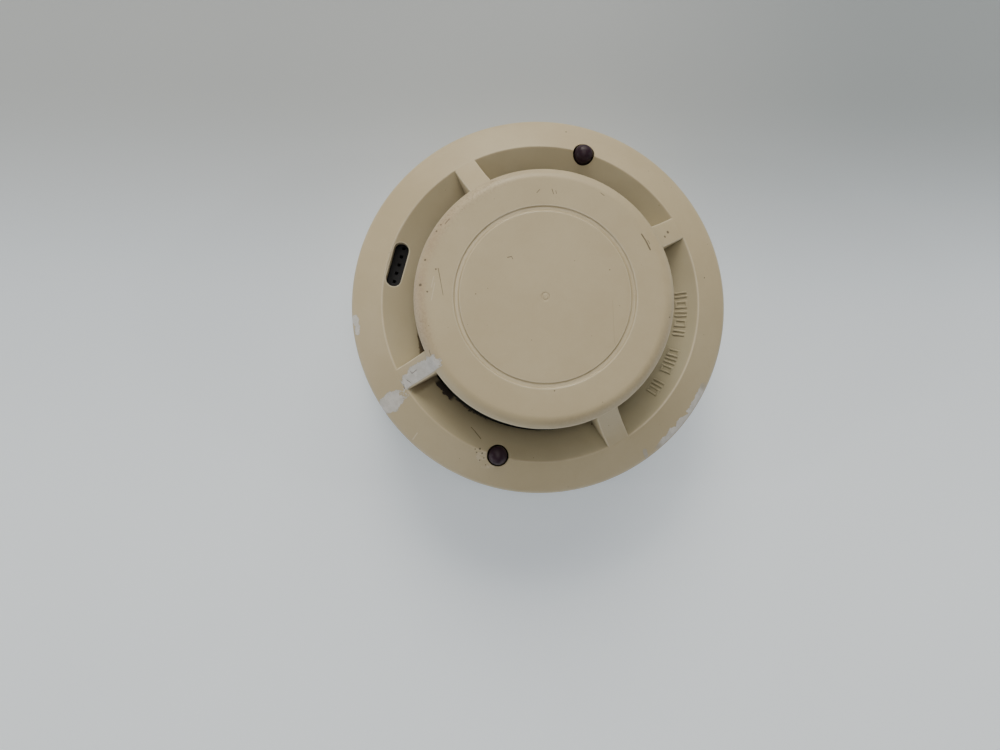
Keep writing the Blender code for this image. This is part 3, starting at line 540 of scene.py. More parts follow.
    # brown dirt and dark residue along the channel's inner edge
    soot = g.mul(window(-127.5, -117.0, 1.0), g.step(g.add(r, g.mul(wob, 2.4)), 35.75, 35.95, 1.0, 0.0))
    crust = g.mul(window(-116.0, -99.0, 1.0), g.step(g.add(r, g.mul(wob, 1.8)), 34.75, 34.95, 1.0, 0.0))
    soot = g.peak(soot, g.mul(crust, 0.8))
    soot = g.mul(soot, g.step(g.z, 28.2, 28.8, 1.0, 0.0))
    color = g.mix(g.mul(soot, 0.92), color, g.mix(fleck, (0.016, 0.011, 0.014), (0.060, 0.045, 0.050)))
    lean = g.mul(g.step(ang, radians(-151), radians(-139)), 1.1)
    brown = g.mul(window(-150.5, -138.0, 1.5), g.step(g.sub(g.add(r, g.mul(wob, 1.1)), lean), 34.55, 34.85, 1.0, 0.0))
    brown = g.mul(brown, g.step(g.z, 28.6, 29.2, 1.0, 0.0))
    # painted shadow: a brown patch on the channel beside the painted rib, where the rib's shadow falls
    painted_rib_shadow = g.blob(-24.2, -29.6, 4.2, 1.1, 229.5, 0.5, g.mul(wob, 0.6))
    painted_rib_shadow = g.mul(painted_rib_shadow, g.step(g.z, 30.2, 31.0, 1.0, 0.0))
    color = g.mix(g.mul(brown, 0.80), color, (0.075, 0.040, 0.020))
    color = g.mix(g.mul(painted_rib_shadow, 0.45), color, (0.085, 0.040, 0.020))

    # scratches and specks
    flat, rag = g.join(g.x, g.y, 0.0), g.mul(crisp, 0.5)
    dark = None
    for seg in ((-8.9, -37.4, -7.4, -38.3, 0.13), (-7.6, -38.2, -5.6, -39.6, 0.17),
                (19.3, 22.3, 20.9, 20.9, 0.24), (20.9, 20.9, 22.5, 19.1, 0.26),
                (21.2, 21.3, 22.0, 20.5, 0.10),
                (-12.0, 6.9, -11.1, 7.4, 0.16), (-11.1, 7.4, -10.6, 6.9, 0.10),
                (-28.1, -0.7, -26.7, -3.5, 0.11), (-26.7, -3.5, -25.0, -6.9, 0.08),
                (-9.4, 25.0, -8.9, 26.0, 0.10), (-5.9, 27.0, -5.2, 25.9, 0.12),
                (-4.9, 26.9, -4.5, 26.2, 0.09), (-29.6, 10.8, -28.9, 12.2, 0.12),
                (6.3, 29.6, 7.4, 29.2, 0.09), (-24.6, -21.2, -23.9, -22.3, 0.10),
                (-28.9, -29.9, -27.7, -30.3, 0.12), (-26.9, -26.7, -27.9, -27.9, 0.13),
                (-27.9, -27.9, -28.4, -27.5, 0.11), (-29.4, -31.2, -28.9, -32.4, 0.12)):
        m = g.scratch(*seg)
        dark = m if dark is None else g.peak(dark, m)
    for cx, cy, rad in ((27.4, 27.5, 0.42), (26.7, 25.7, 0.34), (-31.9, 0.5, 0.28), (-29.1, -7.2, 0.24),
                        (-31.3, -6.0, 0.40), (-31.2, 8.4, 0.26), (-30.6, 10.3, 0.22), (22.6, -27.6, 0.22),
                        (8.7, -22.4, 0.20), (-17.2, -4.3, 0.15), (13.9, 11.2, 0.16), (32.1, 3.9, 0.2),
                        (-28.6, -1.1, 0.24), (41.2, 19.4, 0.2), (-6.2, 48.1, 0.22),
                        (-5.1, -42.2, 0.30), (-4.2, -43.2, 0.26), (-5.7, -43.4, 0.22), (-3.4, -44.3, 0.22),
                        (-4.3, -45.2, 0.20), (-6.3, -42.6, 0.20), (-2.4, -46.0, 0.18)):
        away = g.vec('DISTANCE', flat, (cx, cy, 0.0))
        dark = g.peak(dark, g.ramp_down(g.math('MULTIPLY_ADD', away, 1.06 / rad, rag), 0.75, 1.25))
    color = g.mix(g.mul(dark, 0.72), color, (0.060, 0.042, 0.028))
    hair = g.peak(g.scratch(16.7, 3.9, 18.1, -0.4, 0.10), g.scratch(18.1, -0.4, 20.0, -6.2, 0.10))
    hair = g.peak(hair, g.scratch(20.0, -6.2, 21.6, -8.5, 0.09))
    color = g.mix(g.mul(hair, 0.22), color, (0.20, 0.15, 0.10))
    light = g.peak(g.scratch(-23.2, -44.9, -22.5, -42.9, 0.20), g.scratch(-27.9, -4.5, -27.5, -9.0, 0.12))
    light = g.peak(light, g.scratch(-28.6, -3.0, -28.4, -5.8, 0.12))
    color = g.mix(g.mul(light, 0.6), color, (0.72, 0.66, 0.54))

    rough = g.add(rough, g.mul(paint, 0.18))
    height = g.add(height, g.mul(paint, 1.6))
    height = g.sub(height, g.mul(dark, 2.5))
    return color, rough, height


def plain_plastic(name, rgb, rough=0.45, vary=0.25, edge=0.15, coat=0.0, bump=0.012):
    g = Graph(name)
    n1 = g.noise(0.5, 4.0)
    n2 = g.noise(4.0, 3.0)
    color = g.mix(g.step(n1, 0.3, 0.7, 0.0, vary), rgb, tuple(min(1, c * 1.35 + 0.01) for c in rgb))
    color = g.mix(g.step(n2, 0.4, 0.75, 0.0, 0.10), color, tuple(c * 0.6 for c in rgb))
    r = g.add(rough - 0.06, g.mul(n1, 0.12))
    normal = g.bump(n2, bump, 1.0, g.soft_edges(edge, 4))
    return g.finish(color, r, normal, Coat_Weight=coat)


def metal(name, rgb, rough=0.28, scratchy=0.5):
    g = Graph(name)
    stretch = g.join(g.mul(g.x, 0.6), g.mul(g.y, 6.0), g.mul(g.z, 6.0))
    n1 = g.noise(1.2, 4.0, 0.6, vec=stretch)
    n2 = g.noise(0.6, 3.0)
    color = g.mix(g.step(n2, 0.35, 0.7, 0.0, 0.4), rgb, tuple(c * 0.72 for c in rgb))
    r = g.add(rough, g.mul(n1, 0.22 * scratchy))
    normal = g.bump(n1, 0.006, 1.0, g.soft_edges(0.08, 4))
    return g.finish(color, r, normal, metallic=1.0)

# -------------------------------------------------------------- materials
CREAM = cream_plastic("aged_cream_plastic", wear=cover_wear)
CREAM_BASE = cream_plastic("cream_base_plastic", tint=0.95, grime_and_shade=1.2)
IVORY = plain_plastic("ivory_plastic", (0.60, 0.55, 0.43), 0.42, 0.15)
BLACK = plain_plastic("black_plastic", (0.010, 0.010, 0.011), 0.42, 0.4)
EPOXY = plain_plastic("black_epoxy", (0.016, 0.016, 0.017), 0.55, 0.5)
NYLON = plain_plastic("white_nylon", (0.66, 0.64, 0.57), 0.5, 0.2)
SLEEVE = plain_plastic("capacitor_sleeve", (0.022, 0.035, 0.10), 0.30, 0.3)
COATING = plain_plastic("varistor_coating", (0.015, 0.085, 0.34), 0.34, 0.3)
GLAZE = plain_plastic("thermistor_glaze", (0.03, 0.10, 0.055), 0.18, 0.3, coat=0.6)
STEEL = metal("plated_steel", (0.60, 0.60, 0.58), 0.26)
BRASS = metal("tinned_brass", (0.68, 0.58, 0.38), 0.30)


def lens_material():
    """Dark plum tinted epoxy lens, its skin dulled by dust."""
    g = Graph("dark_red_lens")
    n = g.noise(0.5, 3.0)
    fine = g.noise(3.0, 3.0, 0.6)
    color = g.mix(g.step(n, 0.3, 0.7), (0.0265, 0.0135, 0.0235), (0.0330, 0.0165, 0.0290))
    color = g.mix(g.step(fine, 0.50, 0.78, 0.0, 0.07), color, (0.10, 0.080, 0.095))
    rough = g.add(0.34, g.mul(fine, 0.10))
    normal = g.bump(g.noise(0.9, 2.0), 0.006, 0.5)
    return g.finish(color, rough, normal, Specular_IOR_Level=0.26)


def glass_material():
    g = Graph("reed_glass")
    n = g.noise(0.8, 3.0)
    color = g.mix(n, (0.50, 0.66, 0.56), (0.60, 0.74, 0.64))
    return g.finish(color, g.add(0.05, g.mul(n, 0.06)), g.bump(n, 0.005, 0.5),
                    Transmission_Weight=0.85, IOR=1.5)


def board_material():
    """Green solder mask with tracks."""
    g = Graph("green_board")
    # tracks: runs of thin lines that change direction from cell to cell
    _, cell = g.voronoi(0.16)
    pick = g.split(cell)
    along = g.mix(g.step(pick[0], 0.49, 0.51), g.join(g.x, 0, 0), g.join(g.y, 0, 0))
    u = g.split(along)[0]
    wave = g.math('ABSOLUTE', g.sub(g.math('FRACT', g.mul(u, 0.55)), 0.5))
    track = g.mul(g.ramp_down(wave, 0.13, 0.17), g.step(pick[1], 0.35, 0.36))
    n = g.noise(0.4, 4.0)
    mask = g.mix(g.step(n, 0.3, 0.7), (0.010, 0.085, 0.032), (0.014, 0.110, 0.042))
    color = g.mix(g.mul(track, 0.8), mask, (0.030, 0.180, 0.070))
    # dark dust that falls through the ring gap settles on the board, and the ring is painted near-black as painted
    # shade under the dome's skirt
    r = g.math('SQRT', g.add(g.mul(g.x, g.x), g.mul(g.y, g.y)))
    under = g.mul(g.step(r, 32.0, 33.2), g.step(g.add(r, g.mul(n, 2.0)), 37.4, 39.2, 1.0, 0.0))
    color = g.mix(g.mul(under, 0.95), color, (0.0045, 0.0040, 0.0042))
    rough = g.add(0.26, g.mul(n, 0.12))
    normal = g.bump(track, 0.035, 0.8, g.soft_edges(0.1, 4))
    return g.finish(color, rough, normal, Coat_Weight=0.3)


LENS = lens_material()
GLASS = glass_material()
BOARD = board_material()
TIN = metal("solder_tin", (0.70, 0.70, 0.69), 0.22)


# ================================================================== cover
# Heights and radii of the CAD part, in mm.
LIP_R, LIP_Z = 42.8, 31.0
CHAN_R, CHAN_Z = 34.4, 26.2
DOME_R, DOME_TOP = 33.7, 43.0
RIB_W = 6.3
CONE = (30.80 - 26.90) / (50.75 - 43.5)       # fall of the flange per mm
STEPS = 240


def cover_ring(bm):
    profile = rounded([
        (49.7, 17.5, 0.15), (51.7, 17.5, 0.35),
        (51.7, 26.90 - 0.95 * CONE, 2.1),
        (42.85, 30.80 + 0.65 * CONE, 0.42),
        (CHAN_R, CHAN_Z - 0.05, 0.35), (CHAN_R, CHAN_Z - 1.9, 0.25),
        (CHAN_R + 1.0, CHAN_Z - 1.9, 0.2), (LIP_R + 0.1, LIP_Z - 2.1, 0.8),
        (49.7, 25.2, 1.0)], 9.0)
    spun(bm, subdivide(profile, 1.3), STEPS)


def cover_dome(bm):
    f = 3.4
    profile = rounded([
        (0, DOME_TOP, 0), (0.62, DOME_TOP, 0.05), (0.80, DOME_TOP - 0.10, 0.05),
        (1.00, DOME_TOP - 0.10, 0.05), (1.18, DOME_TOP, 0.05),
        (21.90, DOME_TOP, 0.16), (22.22, DOME_TOP - 0.36, 0.14),
        (23.12, DOME_TOP - 0.36, 0.14), (23.44, DOME_TOP, 0.16),
        (DOME_R - 0.05, DOME_TOP, f), (DOME_R + 0.05, 33.0, 0.35),
        (31.9, 33.0, 0.3), (31.9, 41.0, 1.4), (0, 41.0, 0)], 8.0)
    spun(bm, subdivide(profile, 1.6), STEPS)


def rib_curve(n):
    """Top line of a rib in (r, z) with its upward normals."""
    s = (DOME_R - 0.7, DOME_TOP - 2.8)
    c = (DOME_R + 1.9, LIP_Z + 3.85)
    e = (LIP_R + 1.1, LIP_Z - 0.48)
    pts = []
    for k in range(n + 1):
        t = k / n
        x = (1 - t) ** 2 * s[0] + 2 * t * (1 - t) * c[0] + t * t * e[0]
        z = (1 - t) ** 2 * s[1] + 2 * t * (1 - t) * c[1] + t * t * e[1]
        dx = 2 * (1 - t) * (c[0] - s[0]) + 2 * t * (e[0] - c[0])
        dz = 2 * (1 - t) * (c[1] - s[1]) + 2 * t * (e[1] - c[1])
        ln = hypot(dx, dz)
        pts.append((x, z, -dz / ln, dx / ln))
    return pts


def rib(bm, deg):
    """One rib: upright sides, concave top with rounded edges."""
    f, arcs, n = 0.42, 5, 28
    rings = []
    for x, z, nx, nz in rib_curve(n):
        bottom = CHAN_Z - 1.0 if x < CHAN_R + 0.9 else (
            CHAN_Z - 1.0 + (x - CHAN_R - 0.9) * (LIP_Z - 1.6 - CHAN_Z + 1.0) / (LIP_R - CHAN_R - 1.0))
        bottom = min(bottom, z - 1.2)
        half = []
        for k in range(arcs + 1):
            a = pi / 2 * k / arcs
            half.append((RIB_W / 2 - f + f * cos(a), f * (1 - sin(a))))
        ring = [(x, RIB_W / 2 + 0.06, bottom)]
        ring += [(x - nx * d, y, z - nz * d) for y, d in half]
        ring += [(x - nx * d, -y, z - nz * d) for y, d in reversed(half)]
        ring += [(x, -RIB_W / 2 - 0.06, bottom)]
        rings.append([bm.verts.new((p[0] * MM, p[1] * MM, p[2] * MM)) for p in ring])
    m = len(rings[0])
    for a, b in zip(rings, rings[1:]):
        for k in range(m):
            q = (k + 1) % m
            bm.faces.new((a[k], a[q], b[q], b[k]))
    bm.faces.new(rings[0])
    bm.faces.new(list(reversed(rings[-1])))
    verts = [v for r in rings for v in r]
    # the pillar end reaches back under the dome's skirt
    for v in rings[0]:
        v.co.x = min(v.co.x, (CHAN_R - 1.7) * MM)
    bmesh.ops.rotate(bm, verts=verts, cent=(0, 0, 0),
                     matrix=Matrix.Rotation(radians(deg), 3, 'Z'))


def cover_ribs(bm):
    for k in range(4):
        rib(bm, 45.0 + 90.0 * k)


def cover_tabs(bm):
    for k in range(4):
        verts = [bm.verts.new((r * MM, -2.4 * MM, z * MM)) for r, z in
                 [(47.4, 14.8), (49.0, 14.8), (49.2, 15.2), (49.2, 18.4), (50.4, 18.4),
                  (50.4, 23.0), (48.6, 23.0), (47.4, 20.5)]]
        face = bm.faces.new(verts)
        out = bmesh.ops.extrude_face_region(bm, geom=[face])
        far = [g for g in out["geom"] if isinstance(g, bmesh.types.BMVert)]
        bmesh.ops.translate(bm, verts=far, vec=(0, 4.8 * MM, 0))
        bmesh.ops.rotate(bm, verts=verts + far, cent=(0, 0, 0),
                         matrix=Matrix.Rotation(radians(22.0 + 90.0 * k), 3, 'Z'))


def raised_marks(bm):
    """Plain raised frames and bars on the channel's slope; they spell nothing."""
    rise = atan2(LIP_Z - CHAN_Z, LIP_R - CHAN_R)
    places = (-21.4, -17.9, -11.2, -7.5, -4.0, 4.4, 8.4, 12.2, 16.0, 20.0)
    mid_r = 38.75
    mid_z = CHAN_Z + (mid_r - CHAN_R) * tan(rise)
    for j, deg in enumerate(places):
        frame_like = j % 2 == 0
        w, h, line = (1.95, 3.3, 0.46) if frame_like else (1.55, 3.3, 0.46)
        # local axes: x round the channel, y up the slope, z out of the slope
        loops = []
        if frame_like:
            outer = [(-w / 2, -h / 2), (w / 2, -h / 2), (w / 2, h / 2), (-w / 2, h / 2)]
            inner = [(x - line * (1 if x > 0 else -1), y - line * (1 if y > 0 else -1))
                     for x, y in outer]
            for z in (-0.5, 0.27):
                loops.append(([bm.verts.new((x, y, z)) for x, y in outer],
                              [bm.verts.new((x, y, z)) for x, y in inner]))
            (ob, ib), (ot, it) = loops
            for k in range(4):
                q = (k + 1) % 4
                bm.faces.new((ob[k], ob[q], ot[q], ot[k]))
                bm.faces.new((ib[q], ib[k], it[k], it[q]))
                bm.faces.new((ot[k], ot[q], it[q], it[k]))
                bm.faces.new((ob[q], ob[k], ib[k], ib[q]))
            verts = ob + ib + ot + it
        else:
            verts = []
            for cx in (-w / 2 + line / 2, w / 2 - line / 2):
                low = [bm.verts.new((cx + sx * line / 2, sy * h / 2, -0.5))
                       for sx, sy in ((-1, -1), (1, -1), (1, 1), (-1, 1))]
                top = [bm.verts.new((v.co.x, v.co.y, 0.27)) for v in low]
                for k in range(4):
                    q = (k + 1) % 4
                    bm.faces.new((low[k], low[q], top[q], top[k]))
                bm.faces.new(top)
                bm.faces.new(list(reversed(low)))
                verts += low + top
        up = Vector((cos(rise), 0, sin(rise)))
        out = Vector((-sin(rise), 0, cos(rise)))
        tang = up.cross(out)
        for v in verts:
            p = tang * v.co.x + up * v.co.y + out * v.co.z + Vector((mid_r, 0, mid_z))
            v.co = p * MM
        bmesh.ops.rotate(bm, verts=verts, cent=(0, 0, 0),
                         matrix=Matrix.Rotation(radians(deg), 3, 'Z'))


def cover_cuts(bm):
    for a in (90.0, 270.0):
        x, y = polar(42.7, a)
        drum(bm, x, y, 2.9, 20, 36, 64)
    x, y = polar(40.2, 180.9)
    prism(bm, stadium(x, y, 12.1, 3.85, 270.9), 20, 36)


cover_me = shaped("cover", cover_ring, [cover_ribs, cover_tabs, cover_dome, raised_marks], cover_cuts)
piece("cover_shell", cover_me, CREAM, "cover", ["cover"], sharp=28)

# ============================================================== indicator lamps
def lamp_body(bm):
    profile = rounded([(0, 24.3, 0), (2.9, 24.3, 0.1), (2.9, 25.3, 0.15), (2.55, 25.3, 0.1),
                       (2.5, 30.6, 0)], 20)
    for k in range(1, 13):
        a = pi / 2 * k / 12
        profile.append((2.5 * cos(a) if k < 12 else 0.0, 30.6 + 2.1 * sin(a)))
    spun(bm, profile, 64)


def lamp_leads(bm):
    for s in (-1, 1):
        box(bm, s * 1.27, 0, 0.5, 0.5, 21.7, 24.8)


for i, a in enumerate((90.0, 270.0), 1):
    x, y = polar(42.7, a)
    piece(f"lamp_{i}", shaped(f"lamp_{i}", lamp_body, lamp_leads), LENS, "head",
          [f"led_{i}"], (x, y, 0), a + 90)

# ======================================================================= base
BASE_STEPS = 200


def base_shell(bm):
    profile = rounded([
        (20.0, 0, 0.3), (50.9, 0, 0.6), (52.0, 8.0, 14.0), (52.0, 17.0, 0.5),
        (49.8, 17.0, 0.3), (49.8, 2.5, 0.4), (45.6, 2.5, 0.4), (45.6, 14.0, 0.3),
        (43.6, 14.0, 0.3), (43.6, 2.5, 0.4), (21.6, 2.5, 0.4), (21.6, 4.2, 0.3),
        (20.0, 4.2, 0.3)], 12.0)
    spun(bm, subdivide(profile, 3.0), BASE_STEPS)


def base_additions(bm):
    for t in range(4):
        lug = 45.0 + 90.0 * t
        sector(bm, 40.8, 44.4, lug - 7, lug + 7, 12.0, 13.9, 12)
        for a in (lug - 9.6, lug + 24.6):
            sector(bm, 41.0, 44.4, a, a + 3, 2.0, 11.6, 4)
    x, y = polar(47.7, -112.0)
    drum(bm, x, y, 0.7, 2.0, 12.6, 24)
    # low ribs that stiffen the floor
    for k in range(8):
        a = 22.5 + 45.0 * k
        if abs((a % 180) - 135) > 30:
            sector(bm, 21.0, 28.0, a - 0.9, a + 0.9, 2.0, 3.3, 2)


def base_cuts(bm):
    for t in (0.0, 90.0, 180.0, 270.0):
        x, y = polar(33.0, t - 20.0)
        drum(bm, x, y, 1.8, 0.5, 6.0, 32)
    x, y = polar(51.0, -92.5)
    box(bm, x, y, 6.0, 3.6, 9.0, 12.0, -92.5)
    for a in (135.0, 315.0):
        # arc slot whose round entry lets the fixing screw's head through
        pts = []
        for k in range(25):
            t = a - 8 + 22.0 * k / 24
            pts.append(polar(32.25, t))
        ex, ey = polar(30.0, a + 14)
        pts += [(ex + 2.25 * cos(radians(a + 14) + pi * k / 12),
                 ey + 2.25 * sin(radians(a + 14) + pi * k / 12)) for k in range(1, 12)]
        for k in range(25):
            t = a + 14 - 22.0 * k / 24
            pts.append(polar(27.75, t))
        prism(bm, pts, -1, 6)


def base_entries(bm):
    for a in (135.0, 315.0):
        x, y = polar(30.0, a - 8)
        drum(bm, x, y, 4.2, -1, 6, 48)


piece("mount_base", shaped("mount_base", base_shell, base_additions, [base_cuts, base_entries]),
      CREAM_BASE, "base", ["base_body"], sharp=30)


def contact_foot(bm):
    sector(bm, 29.6, 37.2, -25.5, -12.0, 2.8, 3.4, 10)


def contact_leaf(bm):
    sector(bm, 34.1, 34.6, -13.2, 7.0, 2.9, 6.9, 16)


def contact_cut(bm):
    x, y = polar(33.0, -20.0)
    drum(bm, x, y, 1.8, 2.0, 5.0, 32)


def clamp_plate(bm):
    prism(bm, [(c * 3.3, s * 3.3) for c, s in
               ((-1, -0.8), (-0.8, -1), (0.8, -1), (1, -0.8), (1, 0.8), (0.8, 1), (-0.8, 1), (-1, 0.8))],
          4.1, 4.8)


def clamp_lips(bm):
    for s in (-1, 1):
        box(bm, s * 3.0, 0, 0.6, 5.0, 3.75, 4.5)


def clamp_cut(bm):
    drum(bm, 0, 0, 1.8, 3, 6, 32)


def screw_mesh(name, head_r, head_h, shank_r, shank_l):
    def turned(bm):
        profile = [(0, -shank_l), (shank_r * 0.7, -shank_l)]
        z = -shank_l + 0.3
        while z < -0.45:
            profile += [(shank_r - 0.18, z), (shank_r, z + 0.12), (shank_r, z + 0.18),
                        (shank_r - 0.18, z + 0.32)]
            z += 0.5
        profile += [(shank_r - 0.1, 0), (head_r - 0.12, 0.0), (head_r, 0.12),
                    (head_r, head_h * 0.45)]
        for k in range(1, 7):
            a = pi / 2 * k / 6
            profile.append((head_r * cos(a * 0.86) ** 0.8 if k < 6 else 0.0,
                            head_h * (0.45 + 0.55 * sin(a))))
        spun(bm, profile, 36)

    def recess(bm):
        w, l = head_r * 0.22, head_r * 1.1
        for z0, z1, grow in ((head_h * 0.42, head_h + 1, 1.0),):
            outline = [(l / 2, -w / 2), (l / 2, w / 2), (w / 2, w / 2), (w / 2, l / 2),
                       (-w / 2, l / 2), (-w / 2, w / 2), (-l / 2, w / 2), (-l / 2, -w / 2),
                       (-w / 2, -w / 2), (-w / 2, -l / 2), (w / 2, -l / 2), (w / 2, -w / 2)]
            prism(bm, outline, z0, z1)
    return shaped(name, turned, None, recess)


contact_me = shaped("contact_spring", contact_foot, contact_leaf, contact_cut)
clamp_me = shaped("wire_clamp", clamp_plate, clamp_lips, clamp_cut)
terminal_screw_me = screw_mesh("terminal_screw", 3.0, 1.7, 1.5, 4.4)
for i, t in enumerate((0.0, 90.0, 180.0, 270.0), 1):
    piece(f"contact_leaf_{i}", contact_me, BRASS, "base", [f"contact_spring_{i}"], turn=t,
          bevel=0.08)
    x, y = polar(33.0, t - 20.0)
    piece(f"clamp_{i}", clamp_me, STEEL, "base", [f"wire_clamp_{i}"], (x, y, 0), t - 20.0,
          bevel=0.1)
    piece(f"terminal_bolt_{i}", terminal_screw_me, STEEL, "base", [f"terminal_screw_{i}"],
          (x, y, 5.1), t - 20.0 + 15 * i)

# --------------------------------------------------------------- release lever
LEVER_A0, LEVER_SPAN = -112.0, 22.0
LEVER_X, LEVER_Y = polar(47.7, LEVER_A0)


def lever_arm(bm):
    sector(bm, 47.8, 49.2, LEVER_A0 + 0.6, LEVER_A0 + LEVER_SPAN, 8.0, 12.4, 20)


def lever_boss(bm):
    drum(bm, LEVER_X, LEVER_Y, 1.6, 8.0, 12.4, 40)
    a = LEVER_A0 + LEVER_SPAN - 2.5
    x, y = polar(47.6, a)
    box(bm, x, y, 1.4, 2.4, 8.6, 11.8, a)


def lever_bore(bm):
    drum(bm, LEVER_X, LEVER_Y, 1.0, 7, 14, 32)


piece("lever_arm", shaped("lever_arm", lever_arm, lever_boss, lever_bore), CREAM_BASE,
      "lever", ["release_lever"], bevel=0.12)

# ==================================================================== chassis
POSTS = [(21.0, 45.0), (21.0, 165.0), (21.0, 285.0)]


def chassis_shell(bm):
    profile = rounded([
        (0, 7.5, 0), (39.2, 7.5, 0.6), (39.2, 16.0, 0.3), (49.3, 16.0, 0.35),
        (49.3, 18.0, 0.35), (37.2, 18.0, 0.3), (37.2, 9.5, 0.6), (0, 9.5, 0)], 14.0)
    spun(bm, subdivide(profile, 3.0), 180)


def chassis_additions(bm):
    for k in range(4):
        a = 45.0 + 90.0 * k
        sector(bm, 38.2, 43.2, a - 6, a + 6, 8.5, 11.6, 12)
    for r, a in POSTS:
        x, y = polar(r, a)
        drum(bm, x, y, 3.0, 8.5, 19.5, 40)
        for k in range(3):
            b = a + 60 + 120 * k
            box(bm, x + 3.4 * cos(radians(b)), y + 3.4 * sin(radians(b)), 2.4, 0.9, 8.5, 15.0, b)


def chassis_cuts(bm):
    for k in range(4):
        a = 22.0 + 90.0 * k
        sector(bm, 46.8, 50.5, a - 4.2, a + 4.2, 15, 19, 6)
    for r, a in POSTS:
        x, y = polar(r, a)
        drum(bm, x, y, 1.5, 12.5, 24, 28)
    for t in (0.0, 90.0, 180.0, 270.0):
        x, y = polar(33.0, t)
        box(bm, x, y, 1.6, 7.8, 6, 11, t)
        x, y = polar(26.0, t)
        drum(bm, x, y, 1.4, 8.0, 12, 28)


piece("plug_body", shaped("plug_body", chassis_shell, chassis_additions, chassis_cuts), IVORY,
      "head", ["chassis"])


def blade_upright(bm):
    prism(bm, [(32.6, -3.5), (33.4, -3.5), (33.4, 3.5), (32.6, 3.5)], 3.4, 10.6)


def blade_foot(bm):
    box(bm, 28.2, 0, 9.4, 5.6, 9.8, 10.6)


def blade_cut(bm):
    drum(bm, 26.0, 0, 1.4, 9, 12, 28)
    # lead-in corners at the blade's free edge
    for s in (-1, 1):
        prism(bm, [(31, s * 3.0), (35, s * 3.0), (35, s * 4.2), (31, s * 4.2)], 3.0, 4.2)


blade_me = shaped("terminal_blade", blade_upright, blade_foot, blade_cut)
blade_screw_me = screw_mesh("blade_screw", 2.2, 1.4, 1.1, 2.6)


def link_strip(bm):
    box(bm, 0, 0, 1.8, 0.7, 10.9, 19.5)


link_me = shaped("board_link", link_strip)
for i, t in enumerate((0.0, 90.0, 180.0, 270.0), 1):
    piece(f"blade_{i}", blade_me, BRASS, "head", [f"terminal_blade_{i}"], turn=t,
          bevel=0.1)
    x, y = polar(26.0, t)
    piece(f"blade_fixing_{i}", blade_screw_me, STEEL, "head", [f"blade_screw_{i}"], (x, y, 10.9),
          t + 20 * i)
    x, y = polar(30.4, t)
    piece(f"link_{i}", link_me, BRASS, "head", [f"board_link_{i}"], (x, y, 0), t + 90,
          bevel=0.15)

# --------------------------------------------------------------- circuit board
def board_disc(bm):
    profile = rounded([(0, 19.8, 0), (46.0, 19.8, 0.12), (46.0, 21.4, 0.12), (0, 21.4, 0)], 30)
    spun(bm, profile, 160)


def board_cuts(bm):
    for r, a in POSTS:
        x, y = polar(r, a)
        drum(bm, x, y, 1.6, 18, 23, 28)
    for k in range(4):
        a = 22.0 + 90.0 * k
        sector(bm, 45.2, 47, a - 3.0, a + 3.0, 18, 23, 4)


piece("board", shaped("board", board_disc, None, board_cuts), BOARD, "head", ["circuit_board"])

board_screw_me = screw_mesh("board_screw", 2.6, 1.6, 1.2, 7.0)
for i, (r, a) in enumerate(POSTS, 1):
    x, y = polar(r, a)
    piece(f"board_fixing_{i}", board_screw_me, STEEL, "head", [f"board_screw_{i}"],
          (x, y, 21.7), 25 * i)


def chip_parts(bm):
    """Small surface-mount parts between the guard and the board's edge."""
    for k in range(26):
        a = 9.0 + 13.3 * k
        near = min(abs((a - b + 180) % 360 - 180) for b in (90, 180, 270, 128))
        if near < 11:
            continue
        r = 37.0 + 1.9 * ((k * 7) % 4)
        x, y = polar(r, a)
        long, wide, high = ((1.6, 0.8, 0.5), (2.0, 1.25, 0.55), (3.0, 1.6, 0.9))[k % 3]
        box(bm, x, y, long, wide, 21.41, 21.41 + high, a + (90 if k % 2 else 0))


piece("surface_parts", shaped("surface_parts", chip_parts), EPOXY, "head",
      bevel=0.07)


def solder_caps(bm):
    """Solder cones round the lamp leads."""
    spots = []
    for a in (90.0, 270.0):
        x, y = polar(42.7, a)
        spots += [(x - 1.27, y, 0.62), (x + 1.27, y, 0.62)]
    for x, y, r in spots:
        rings = []
        for z, k in ((21.405, 1.0), (21.48, 0.8), (21.58, 0.62), (21.66, 0.5)):
            rings.append([bm.verts.new(((x + r * k * cos(2 * pi * j / 20)) * MM,
                                        (y + r * k * sin(2 * pi * j / 20)) * MM, z * MM))
                          for j in range(20)])
        for a, b in zip(rings, rings[1:]):
            for j in range(20):
                m = (j + 1) % 20
                bm.faces.new((a[j], a[m], b[m], b[j]))
        bm.faces.new(list(reversed(rings[0])))
        bm.faces.new(rings[-1])


piece("solder_joints", shaped("solder_joints", solder_caps), TIN, "head")

# ---------------------------------------------------------------- test socket
def socket_block(bm):
    x, y = polar(40.6, 180.9)
    box(bm, x, y, 4.6, 13.6, 21.7, 25.3)


def socket_cuts(bm):
    for k in range(5):
        box(bm, -40.4, (k - 2) * 2.4, 0.7, 0.7, 22.6, 27)


SOCKET = plain_plastic("socket_plastic", (0.0050, 0.0063, 0.0128), 0.62, 0.15)
piece("socket_block", shaped("socket_block", socket_block, None, socket_cuts), SOCKET, "head",
      ["test_socket"], bevel=0.2)

# ------------------------------------------------------------ sensing elements
def guard_disc(bm):
    profile = rounded([
        (3.0, 21.7, 0.1), (17.0, 21.7, 0), (17.0, 22.0, 0), (25.0, 22.0, 0), (25.0, 21.7, 0),
        (33.6, 21.7, 0.15), (33.6, 23.0, 0.3), (31.1, 23.0, 0.1), (31.1, 23.6, 0.25),
        (29.0, 23.6, 0.25), (29.0, 23.0, 0.1), (3.0, 23.0, 0.25)], 20)
    spun(bm, subdivide(profile, 3.0), 144)


